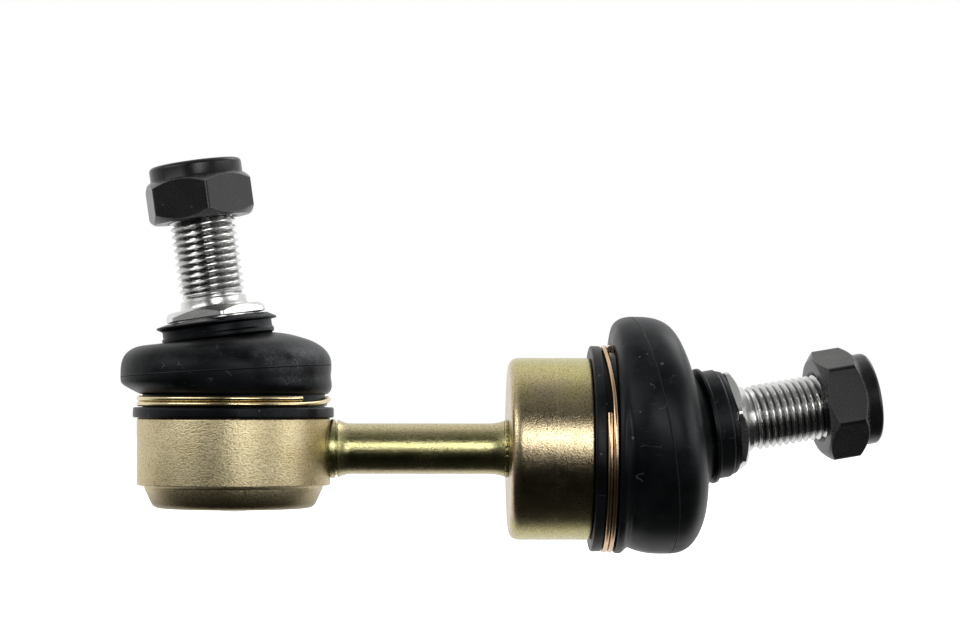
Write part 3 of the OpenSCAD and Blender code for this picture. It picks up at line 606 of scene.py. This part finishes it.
# Radius of a hexagon at an angle, its corners rounded off to a blunt radius
def hexagonRadius(turn, acrossFlats, blunt, softness=0.25):
    inside = math.radians((math.degrees(turn) % 60) - 30)
    flat = acrossFlats / 2 / math.cos(inside)
    share = min(1.0, max(0.0, 0.5 + 0.5 * (blunt - flat) / softness))
    return blunt + (flat - blunt) * share - softness * share * (1 - share)


# Geometry Nodes tree with named sizes and counts, and a finish
def startTree(name, sizes, counts):
    tree = bpy.data.node_groups.new(name, "GeometryNodeTree")
    labels = [(label, floatKind) for label in sizes] + [(label, "NodeSocketInt") for label in counts]
    for label, kind in labels + [("Finish", "NodeSocketMaterial")]:
        tree.interface.new_socket(label, in_out="INPUT", socket_type=kind)
    tree.interface.new_socket("Geometry", in_out="OUTPUT", socket_type="NodeSocketGeometry")
    return tree, tree.nodes.new("NodeGroupInput").outputs, tree.nodes.new("NodeGroupOutput").inputs


def endTree(tree, geometry, given, result):
    whole = put(tree, "GeometryNodeRealizeInstances", {"Geometry": geometry})
    dressed = put(tree, "GeometryNodeSetMaterial", {"Geometry": whole.outputs[0], "Material": given["Finish"]})
    feed(result[0], dressed.outputs[0])


# Thread sleeve as Geometry Nodes: a grid rolled round the axis, its radius following the helix
threadSize = {"outer": 5.95, "pitch": 1.25, "depth": 0.74, "columns": 96, "rowsPerTurn": 14, "runout": 1.3}


def makeThreadTree():
    tree, given, result = startTree("rolledThread",
                                    ("Outer Radius", "Thread Depth", "Pitch", "Foot", "Tip", "Foot Radius",
                                     "Tip Radius", "Runout"), ("Columns", "Rows"))
    sheet = put(tree, "GeometryNodeMeshGrid",
                {"Size X": 1.0, "Size Y": 1.0, "Vertices X": given["Columns"], "Vertices Y": given["Rows"]})
    spot = put(tree, "ShaderNodeSeparateXYZ", {0: put(tree, "GeometryNodeInputPosition").outputs[0]})
    around = plus(spot.outputs[0], 0.5)
    along = plus(spot.outputs[1], 0.5)
    height = calc("MULTIPLY_ADD", along, minus(given["Tip"], given["Foot"]), given["Foot"])
    phase = calc("FRACT", minus(calc("DIVIDE", height, given["Pitch"]), around))
    ridge = minus(1.0, calc("ABSOLUTE", calc("MULTIPLY_ADD", phase, 2.0, -1.0)))
    shaped = calc("MULTIPLY_ADD", ridge, 1.3, -0.12, clamp=True)
    drop = times(minus(1.0, shaped), given["Thread Depth"])
    full = minus(given["Outer Radius"], drop)
    rise = between(height, 0.0, 1.0, given["Foot"], plus(given["Foot"], given["Runout"]), "SMOOTHSTEP")
    grown = calc("MULTIPLY_ADD", minus(full, given["Foot Radius"]), rise, given["Foot Radius"])
    cone = plus(given["Tip Radius"], minus(given["Tip"], height))
    radius = calc("MINIMUM", grown, cone)
    angle = times(around, 2 * math.pi)
    across, deep = (times(radius, calc(way, angle)) for way in ("COSINE", "SINE"))
    rolled = put(tree, "ShaderNodeCombineXYZ", {0: across, 1: deep, 2: height})
    stored = put(tree, "GeometryNodeStoreNamedAttribute",
                 {"Geometry": sheet.outputs["Mesh"], "Name": "groove", "Value": minus(1.0, shaped)}, data_type="FLOAT",
                 domain="POINT")
    placed = put(tree, "GeometryNodeSetPosition", {"Geometry": stored.outputs[0], "Position": rolled.outputs[0]})
    closed = put(tree, "GeometryNodeMergeByDistance", {"Geometry": placed.outputs[0], "Distance": 0.0005})
    endTree(tree, closed.outputs[0], given, result)
    return tree


# Runs a Geometry Nodes tree on an empty object and gives its result as a plain mesh
def grownMesh(name, tree, inputs):
    seed = bpy.data.objects.new(name + "Seed", bpy.data.meshes.new(name + "Seed"))
    bpy.context.scene.collection.objects.link(seed)
    nodes = seed.modifiers.new("grow", "NODES")
    nodes.node_group = tree
    for item in tree.interface.items_tree:
        if item.in_out == "INPUT":
            nodes[item.identifier] = inputs[item.name]
    bpy.context.view_layer.update()
    grown = bpy.data.meshes.new_from_object(seed.evaluated_get(bpy.context.evaluated_depsgraph_get()))
    seed.modifiers.remove(nodes)
    bpy.data.objects.remove(seed)
    return grown


threadTree = makeThreadTree()

# Ball studs: ball, neck, sealing land, hexagon collar, pilot and thread
stud = {"ball": 9.0, "neck": 4.6, "land": 7.0, "collarFlats": 17.0, "collarCorner": 9.6, "collarHeight": 1.7,
        "pilot": 5.95, "pilotLength": 1.6, "undercut": 5.4, "undercutWidth": 0.8, "chamferInset": 0.3,
        "chamferAngle": 35.0, "neckRise": 4.0, "neckSteps": 12, "fillet": 0.9, "recess": 3.2, "collarColumns": 180}
leftStud = {"seat": 25.75, "tip": 51.35, "landFoot": 18.8, "collarTurn": 40.0}
rightStud = {"seat": 31.7, "tip": 56.3, "landFoot": 24.75, "collarTurn": 55.0}


def makeStud(name, size, place):
    seat, tip = place["seat"], place["tip"]
    neckTop = place["landFoot"] - size["neckRise"]
    ballAngle = math.degrees(math.acos(size["neck"] / size["ball"]))
    lower = arcPoints((0, 0), size["ball"], -90, ballAngle, 40)
    for i in range(size["neckSteps"] + 1):
        share = i / size["neckSteps"]
        lower.append((size["neck"] + (size["land"] - size["neck"]) * (1 - math.cos(math.pi * share)) / 2,
                      neckTop + size["neckRise"] * share))
    threadFoot = seat + size["pilotLength"] + size["undercutWidth"] - 0.3
    lower += rounded([lower[-1], (size["land"], seat - 0.85), (size["pilot"] - 0.3, seat - 0.85),
                      (size["pilot"] - 0.3, seat), (size["pilot"] + size["fillet"], seat + 0.01),
                      (size["pilot"] + 0.4, seat + 0.12), (size["pilot"] + 0.12, seat + 0.4),
                      (size["pilot"], seat + size["fillet"]), (size["pilot"], seat + size["pilotLength"], 0.1),
                      (size["undercut"], seat + size["pilotLength"] + 0.3, 0.1), (size["undercut"], threadFoot)])[1:]
    tipRadius = size["pilot"] - 1.0
    undercutFoot = seat + size["pilotLength"] + 0.1

    def darkAt(r, z, turn):
        return 0.55 if undercutFoot < z else 0.0

    core = spunMesh(name + "Core", lower, threadSize["columns"], False, "groove", darkAt)
    end = [(tipRadius, tip), (size["recess"] + 0.4, tip + 0.02), (size["recess"], tip - 0.12), (0, tip - 0.12)]
    cap = spunMesh(name + "Cap", end, threadSize["columns"], False, "groove", lambda r, z, turn: 0.1)
    rows = int((tip - threadFoot) / threadSize["pitch"] * threadSize["rowsPerTurn"]) + 1
    sleeve = grownMesh(name + "Thread", threadTree,
                       {"Outer Radius": threadSize["outer"], "Thread Depth": threadSize["depth"],
                        "Pitch": threadSize["pitch"], "Foot": threadFoot, "Tip": tip, "Foot Radius": size["undercut"],
                        "Tip Radius": tipRadius, "Runout": threadSize["runout"], "Columns": threadSize["columns"] + 1,
                        "Rows": rows, "Finish": bareSteel})
    chamferRadius = size["collarFlats"] / 2 - size["chamferInset"]
    foot = seat - size["collarHeight"]

    def collarColumn(turn):
        radius = hexagonRadius(turn - math.radians(place["collarTurn"]), size["collarFlats"], size["collarCorner"], 0.1)
        drop = max(0.02, (radius - chamferRadius) * math.tan(math.radians(size["chamferAngle"])))
        column = [(5.4, foot), (radius - 0.12, foot), (radius, foot + 0.12), (radius, seat - drop),
                  (chamferRadius, seat), (6.6, seat), (6.2, seat - 0.1), (5.4, seat - 0.1)]
        return [(r * math.cos(turn), r * math.sin(turn), z, -1.0) for r, z in column]

    collar = sweptMesh(name + "Collar", collarColumn, size["collarColumns"], True, ("groove",))
    return joinedMesh(name, [core, sleeve, cap, collar])


for side, place, where in (("left", leftStud, leftStudFrame), ("right", rightStud, rightStudFrame)):
    piece = asPiece(side + "BallStud", makeStud(side + "BallStud", stud, place), where, bareSteel, 28)
    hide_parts(side + "_ball_stud")
    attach(piece, side + "_stud")
print("studs made")

# Lock nuts: chamfered hexagon with a round collar that holds the nylon ring
nut = {"flats": 18.0, "corner": 10.28, "hexHeight": 7.6, "height": 10.4, "collar": 8.4, "collarRound": 0.8, "bore": 6.0,
       "lipOpening": 6.45, "pocket": 7.2, "chamferInset": 0.3, "chamferAngle": 40.0, "columns": 240}
nutPlaces = {"left": {"height": 41.95, "turn": 41.0}, "right": {"height": 46.9, "turn": 26.0}}


def makeNut(name, size):
    chamferRadius = size["flats"] / 2 - size["chamferInset"]
    slope = math.tan(math.radians(size["chamferAngle"]))
    top = size["height"]
    roundCentre = (size["collar"] - size["collarRound"], top - size["collarRound"])
    collarArc = arcPoints(roundCentre, size["collarRound"], 0, 90, 8)

    def columnAt(turn):
        radius = hexagonRadius(turn, size["flats"], size["corner"], 0.08)
        drop = max(0.03, (radius - chamferRadius) * slope)
        low, high = drop, size["hexHeight"] - drop
        column = [(size["bore"], 0.6, 0), (size["bore"] + 0.6, 0.0, 0.3), (chamferRadius - 0.3, 0.0, 0.2),
                  (chamferRadius, 0.03, 1.0), (radius, low, 0.8), (radius, low + 0.25, 0.0), (radius, high - 0.25, 0.0),
                  (radius, high, 1.0), (chamferRadius, size["hexHeight"], 0.7),
                  (size["collar"] + 0.3, size["hexHeight"], 0.2),
                  (size["collar"] + 0.06, size["hexHeight"] + 0.08, 0.1),
                  (size["collar"], size["hexHeight"] + 0.3, 0.0)]
        column += [(r, z, 0.25 * math.sin(math.pi * i / 8)) for i, (r, z) in enumerate(collarArc)]
        column += [(size["lipOpening"] + 0.2, top, 0.3), (size["lipOpening"], top - 0.15, 0.6),
                   (size["lipOpening"], top - 0.5, 0), (size["pocket"], top - 0.5, 0),
                   (size["pocket"], size["hexHeight"], 0), (size["bore"], size["hexHeight"], 0)]
        return [(r * math.cos(turn), r * math.sin(turn), z, w) for r, z, w in column]

    return sweptMesh(name, columnAt, size["columns"], True, ("wear",))


for side, where in (("left", leftStudFrame), ("right", rightStudFrame)):
    lift = Matrix.Translation((0, 0, nutPlaces[side]["height"])) @ turned(nutPlaces[side]["turn"], "Z")
    piece = asPiece(side + "Nut", makeNut(side + "Nut", nut), where @ lift, nutSteel, 25)
    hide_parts(side + "_nut")
    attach(piece, side + "_nut")
print("nuts made")

# Boots: bent hollow rubber bellows, on the same rule as the solids
bootShape = {"wall": 1.6, "flangeHeight": 1.6, "lip": 10.2, "lipBand": 9.94, "lipTop": 9.4, "root": 11.0, "inside": 7.3,
             "bead": 14.9, "groove": 14.3, "ridgeInset": 0.75, "footDrop": 0.8, "flangeDrop": 0.25, "beadHeight": 1.2,
             "bulgeSteps": 56, "innerSteps": 24, "boreSteps": 8, "columns": 144}
leftBoot = {"base": 5.9, "neckTop": 9.7, "flange": 18.2, "clip": 16.5, "bulge": 19.1, "middle": 14.1, "half": 5.9,
            "power": 2.3, "startShare": 0.2, "seamTilt": 0.42, "lowerTiltPower": 1.0, "tiltReach": 15.5,
            "tiltPower": 1.6, "follow": 0.72, "bendHeight": 3.0, "lipEdge": 10.9, "lipFlap": 10.2, "lipHeight": 23.75,
            "ridgeSpacing": 2.2, "fillet": 11.0, "lean": 8.0, "bendFoot": 9.91, "foldStart": 11.0, "foldEnd": 18.9,
            "seam": 14.1, "seamSlant": 0.0}
rightBoot = {"base": 3.9, "neckTop": 7.5, "flange": 18.7, "clip": 17.8, "bulge": 21.8, "middle": 14.75, "half": 7.7,
             "power": 2.6, "startShare": 0.28, "seamTilt": 0.74, "lowerTiltPower": 0.5, "tiltReach": 20.0,
             "tiltPower": 1.0, "follow": 1.03, "bendHeight": 1.6, "lipEdge": 9.6, "lipFlap": 10.6, "lipHeight": 29.7,
             "ridgeSpacing": 3.4, "fillet": 16.0, "lean": 11.6, "bendFoot": 7.91, "foldStart": 14.4, "foldEnd": 22.8,
             "seam": 14.2, "seamSlant": 0.056}


def eased(part):
    return part * part * (3 - 2 * part)


def shareOf(height, foot, top):
    return min(1.0, max(0.0, (height - foot) / (top - foot)))


def bulgeStart(root, outer, power, startRadius):
    return -math.acos(((startRadius - root) / (outer - root)) ** (power / 2))


def bulgeCurve(root, outer, middle, lower, upper, power, startRadius, steps):
    start = bulgeStart(root, outer, power, startRadius)
    curve = []
    for i in range(steps + 1):
        angle = start + (math.pi / 2 - start) * i / steps
        half = lower if angle < 0 else upper
        curve.append((root + (outer - root) * max(0.0, math.cos(angle)) ** (2 / power),
                      middle + half * math.copysign(abs(math.sin(angle)) ** (2 / power), angle)))
    return curve


# Fillet from the bulge's shoulder up to the lip's foot
def filleted(curve, shape, boot, foot):
    ratio = (boot["fillet"] - shape["root"]) / (boot["bulge"] - shape["root"])
    shoulder = boot["middle"] + boot["half"] * math.sin(math.acos(ratio ** (boot["power"] / 2))) ** (2 / boot["power"])
    result = []
    for r, h in curve:
        if h > boot["middle"] and r < boot["fillet"]:
            h = max(h, shoulder + (foot[1] - shoulder) * ((boot["fillet"] - r) / (boot["fillet"] - foot[0])) ** 2)
        result.append((r, h))
    return result


# Share of the stud's lean that a ring of the boot is tilted by:
# it rises to the bulge's middle, then again towards the lip
def tiltShare(radius, height, boot, lipRadius):
    if height <= boot["middle"]:
        return boot["seamTilt"] * shareOf(height, boot["bendFoot"], boot["middle"]) ** boot["lowerTiltPower"]
    inward = shareOf(radius, boot["tiltReach"], lipRadius)
    return boot["seamTilt"] + (1 - boot["seamTilt"]) * inward ** boot["tiltPower"]


def makeBoot(name, shape, boot):
    upper = boot["lipHeight"] - shape["ridgeInset"]
    lower = upper - boot["ridgeSpacing"]
    lipFoot = lower - shape["footDrop"]
    flangeFoot = boot["base"] - shape["flangeDrop"]
    flangeTop = boot["base"] + shape["flangeHeight"]
    startRadius = boot["clip"] + boot["startShare"] * (boot["bulge"] - boot["clip"])
    bottom = math.sin(-bulgeStart(shape["root"], boot["bulge"], boot["power"], startRadius)) ** (2 / boot["power"])
    lowerHalf = (boot["middle"] - boot["bendFoot"]) / bottom
    bulge = bulgeCurve(shape["root"], boot["bulge"], boot["middle"], lowerHalf, boot["half"], boot["power"],
                       startRadius, shape["bulgeSteps"])
    bulge = filleted(bulge, shape, boot, (shape["lip"] - 0.5, lipFoot))
    outer = rounded([(shape["groove"], flangeFoot), (boot["flange"], flangeFoot, 0.3),
                     (boot["flange"] - 0.05, flangeTop, 0.35), (boot["clip"], flangeTop, 0.1),
                     (boot["clip"], boot["bendFoot"], 0.4), (startRadius - 0.05, boot["bendFoot"], 0.4), bulge[2]])[:-1]
    outer += bulge[2:]
    outer += rounded([(shape["lip"] - 0.5, lipFoot), (boot["lipFlap"], lower - 0.35, 0.12),
                      (boot["lipFlap"], lower + 0.25, 0.15), (shape["lipBand"], lower + 0.5, 0.15),
                      (shape["lipBand"], upper - 0.5, 0.15), (boot["lipEdge"], upper - 0.15, 0.1),
                      (boot["lipEdge"], upper + 0.15, 0.12), (shape["lipTop"], boot["lipHeight"])], 4)
    inner = bulgeCurve(shape["root"], boot["bulge"] - shape["wall"], boot["middle"], lowerHalf - shape["wall"],
                       boot["half"] - shape["wall"], boot["power"], shape["bead"] + 0.3, shape["innerSteps"])
    boreDepth = boot["middle"] + boot["half"] - shape["wall"] + 0.3 - boot["lipHeight"]
    boreHeights = [boot["lipHeight"] + boreDepth * i / shape["boreSteps"] for i in range(shape["boreSteps"] + 1)]
    bore = [(shape["inside"], height) for height in boreHeights]
    outline = outer + bore + inner[::-1]
    outline += [(shape["bead"], boot["neckTop"]), (shape["bead"], boot["neckTop"] - shape["beadHeight"]),
                (shape["groove"], boot["neckTop"] - shape["beadHeight"])]
    lean = math.radians(boot["lean"])

    def columnAt(turn):
        c, s = math.cos(turn), math.sin(turn)
        rough = 0.05 * math.sin(3 * turn + 0.4) + 0.04 * math.sin(7 * turn + 2.0)
        column = []
        for r, h in outline:
            grown = r + (rough if h < flangeTop + 0.01 and r > boot["clip"] + 0.2 else 0)
            lipShare = eased(shareOf(h, boot["middle"], lipFoot))
            bent = eased(shareOf(h, boot["bendFoot"], boot["bendFoot"] + boot["bendHeight"]))
            carried = boot["follow"] * boot["middle"] * math.sin(lean) * bent
            shift = carried * (1 - lipShare) + h * math.sin(lean) * lipShare
            tilt = lean * tiltShare(r, h, boot, shape["lip"] - 0.5)
            x, y = grown * c, grown * s
            girth = h - boot["seam"] + boot["seamSlant"] * x if r > boot["clip"] else 5.0  # height above the seam
            column.append((x * math.cos(tilt) + shift, y, h * math.cos(lean * lipShare) - x * math.sin(tilt), girth))
        return column

    return sweptMesh(name, columnAt, shape["columns"], True, ("girth",))


for side, boot, joint, studFrame, rubber in (("left", leftBoot, leftJoint, leftStudFrame, leftRubber),
                                             ("right", rightBoot, rightJoint, rightStudFrame, rightRubber)):
    mesh = makeBoot(side + "Boot", bootShape, boot)
    piece = asPiece(side + "Boot", mesh, joint, rubber, 45)
    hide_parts(side + "_boot")
    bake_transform(piece)
print("boots made")

# Base clips as Geometry Nodes: a wire wound twice, flat turns joined by one step
clip = {"wire": 0.95, "gap": 0.15, "turnGap": 0.06, "flat": 300.0, "step": 60.0, "points": 265, "sides": 16}
clipPlaces = {"left": {"zone": 16.5, "foot": 7.65, "start": 197.0},
              "right": {"zone": 17.8, "foot": 5.65, "start": 105.0}}


def makeClipTree():
    tree, given, result = startTree("woundClip",
                                    ("Coil Radius", "Wire Radius", "Foot", "Rise", "Start Angle", "Flat Angle",
                                     "Step Angle"), ("Points", "Sides"))
    line = put(tree, "GeometryNodeMeshLine", {"Count": given["Points"]})
    index = put(tree, "GeometryNodeInputIndex").outputs[0]
    share = calc("DIVIDE", index, minus(given["Points"], 1.0))
    sweep = calc("MULTIPLY_ADD", given["Flat Angle"], 2.0, given["Step Angle"])
    swept = times(share, sweep)
    turn = calc("RADIANS", plus(swept, given["Start Angle"]))
    stepped = calc("DIVIDE", minus(swept, given["Flat Angle"]), given["Step Angle"], clamp=True)
    level = calc("MULTIPLY_ADD", calc("COSINE", times(stepped, math.pi)), -0.5, 0.5)
    height = plus(calc("MULTIPLY_ADD", level, given["Rise"], given["Foot"]), given["Wire Radius"])
    across, deep = (times(calc(way, turn), given["Coil Radius"]) for way in ("COSINE", "SINE"))
    spot = put(tree, "ShaderNodeCombineXYZ", {0: across, 1: deep, 2: height})
    wound = put(tree, "GeometryNodeSetPosition", {"Geometry": line.outputs[0], "Position": spot.outputs[0]})
    path = put(tree, "GeometryNodeMeshToCurve", {"Mesh": wound.outputs[0]})
    section = put(tree, "GeometryNodeCurvePrimitiveCircle",
                  {"Resolution": given["Sides"], "Radius": given["Wire Radius"]})
    wire = put(tree, "GeometryNodeCurveToMesh",
               {"Curve": path.outputs[0], "Profile Curve": section.outputs[0], "Fill Caps": True})
    endTree(tree, wire.outputs[0], given, result)
    return tree


clipTree = makeClipTree()
for side, joint, finish in (("left", leftJoint, leftClipWire), ("right", rightJoint, rightClipWire)):
    place = clipPlaces[side]
    mesh = grownMesh(side + "BootClip", clipTree,
                     {"Coil Radius": place["zone"] + clip["gap"] + clip["wire"] / 2, "Wire Radius": clip["wire"] / 2,
                      "Foot": place["foot"], "Rise": clip["wire"] + clip["turnGap"], "Start Angle": place["start"],
                      "Flat Angle": clip["flat"], "Step Angle": clip["step"], "Points": clip["points"],
                      "Sides": clip["sides"], "Finish": finish})
    piece = asPiece(side + "BootClip", mesh, joint, finish, 50)
    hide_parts(side + "_boot_clip")
    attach(piece, "link")
print("clips made")

# Inner pieces keep their solids and get their finishes
innerFinishes = {"left_ball_seat": seatPlastic, "right_ball_seat": seatPlastic, "right_retaining_ring": ringSteel,
                 "left_lip_ring": lipWire, "right_lip_ring": lipWire, "left_nut_insert": insertNylon,
                 "right_nut_insert": insertNylon}
for name, finish in innerFinishes.items():
    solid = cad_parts[name]
    solid.data.materials.clear()
    solid.data.materials.append(finish)

# Studio: a pale floor behind and under the part, a white background, a dim room in front, soft lamps
studio = {"floorHeight": -0.0560, "floorFront": -1.2, "floorBack": 2.0, "floorHalfWidth": 1.6,
          "floorColour": (0.82, 0.82, 0.82, 1), "floorGlow": 0.85}


def makeFloor(size):
    mesh = bpy.data.meshes.new("floor")
    half, front, back, height = size["floorHalfWidth"], size["floorFront"], size["floorBack"], size["floorHeight"]
    mesh.from_pydata([(-half, front, height), (half, front, height), (half, back, height), (-half, back, height)], [],
                     [(0, 1, 2, 3)])
    made = bpy.data.objects.new("floor", mesh)
    bpy.context.scene.collection.objects.link(made)
    material = bpy.data.materials.new("paleFloor")
    material.use_nodes = True
    tree = material.node_tree
    tree.nodes.clear()
    path = put(tree, "ShaderNodeLightPath")
    matte = put(tree, "ShaderNodeBsdfDiffuse", {"Color": size["floorColour"]})
    glow = put(tree, "ShaderNodeEmission", {"Strength": times(path.outputs["Is Camera Ray"], size["floorGlow"])})
    total = put(tree, "ShaderNodeAddShader", {0: matte.outputs[0], 1: glow.outputs[0]})
    clear = put(tree, "ShaderNodeBsdfTransparent").outputs[0]
    floorLook = put(tree, "ShaderNodeMixShader", {0: path.outputs["Is Glossy Ray"], 1: total.outputs[0], 2: clear})
    put(tree, "ShaderNodeOutputMaterial", {"Surface": floorLook.outputs[0]})
    mesh.materials.append(material)


makeFloor(studio)


# White behind the part and for the camera; the room in front of the part is dim
def makeSurround():
    world = bpy.data.worlds.new("studioSurround")
    bpy.context.scene.world = world
    world.use_nodes = True
    tree = world.node_tree
    tree.nodes.clear()
    path = put(tree, "ShaderNodeLightPath")
    way = put(tree, "ShaderNodeSeparateXYZ", {0: put(tree, "ShaderNodeTexCoord").outputs["Generated"]})
    across, deep, up = way.outputs[0], way.outputs[1], way.outputs[2]
    room = plus(0.012, between(deep, 0.0, 0.22, -0.8, -0.35, "SMOOTHSTEP"))
    room = plus(room, between(deep, 0.0, 0.70, -0.3, 0.4, "SMOOTHSTEP"))
    room = plus(room, between(deep, 0.0, 0.07, 0.4, 1.0))
    sides = times(between(calc("ABSOLUTE", across), 0.0, 0.2, 0.15, 0.5, "SMOOTHSTEP"),
                  between(deep, 1.0, 0.0, -0.3, 0.2))
    room = plus(room, sides)
    below = calc("MAXIMUM", between(up, 0.05, 1.0, -0.35, 0.05, "SMOOTHSTEP"),
                 between(deep, 0.0, 1.0, 0.3, 0.62, "SMOOTHSTEP"))
    strength = calc("MAXIMUM", times(room, below), path.outputs["Is Camera Ray"])
    back = put(tree, "ShaderNodeBackground", {"Color": (1, 1, 1, 1), "Strength": strength})
    put(tree, "ShaderNodeOutputWorld", {"Surface": back.outputs[0]})


makeSurround()

# Lamps by their direction seen from the part: degrees to the right of the camera, degrees up
lamps = {"frontLamp": {"across": 4.0, "up": 16.0, "far": 0.6, "width": 0.2, "height": 0.19, "power": 0.6},
         "sideFrontLamp": {"across": 19.0, "up": 8.0, "far": 0.6, "width": 0.2, "height": 0.3, "power": 0.5},
         "rightLamp": {"across": 76.0, "up": 10.0, "far": 0.6, "width": 0.5, "height": 0.3, "power": 1.1},
         "leftLamp": {"across": -58.0, "up": 23.0, "far": 0.6, "width": 0.5, "height": 0.22, "power": 0.85},
         "topLamp": {"across": 128.0, "up": 44.0, "far": 0.8, "width": 0.4, "height": 0.4, "power": 1.1}}
aim = Vector((0.045, 0.0, -0.020))
for name, lamp in lamps.items():
    light = bpy.data.lights.new(name, "AREA")
    light.shape, light.size, light.size_y, light.energy = "RECTANGLE", lamp["width"], lamp["height"], lamp["power"]
    across, up = math.radians(lamp["across"]), math.radians(lamp["up"])
    way = Vector((math.sin(across) * math.cos(up), -math.cos(across) * math.cos(up), math.sin(up)))
    made = bpy.data.objects.new(name, light)
    made.location = aim + lamp["far"] * way
    made.rotation_euler = (-way).to_track_quat("-Z", "Y").to_euler()
    bpy.context.scene.collection.objects.link(made)

# Camera at the photograph's place: long lens, a little left of square, slightly from below
camera = {"eye": (0.03042, -0.54579, -0.01438), "yaw": -1.87, "pitch": 1.30, "roll": 0.08, "lens": 112.5,
          "sensor": 36.0}


def makeCamera(size):
    data = bpy.data.cameras.new("photoCamera")
    data.lens, data.sensor_width, data.sensor_fit = size["lens"], size["sensor"], "HORIZONTAL"
    data.clip_start, data.clip_end = 0.01, 50.0
    made = bpy.data.objects.new("photoCamera", data)
    bpy.context.scene.collection.objects.link(made)
    panned = Matrix.Translation(size["eye"]) @ turned(size["yaw"], "Z")
    made.matrix_world = panned @ turned(90 + size["pitch"], "X") @ turned(size["roll"], "Z")
    bpy.context.scene.camera = made


makeCamera(camera)
bpy.context.scene.view_settings.view_transform = "Standard"

print("scene ready")
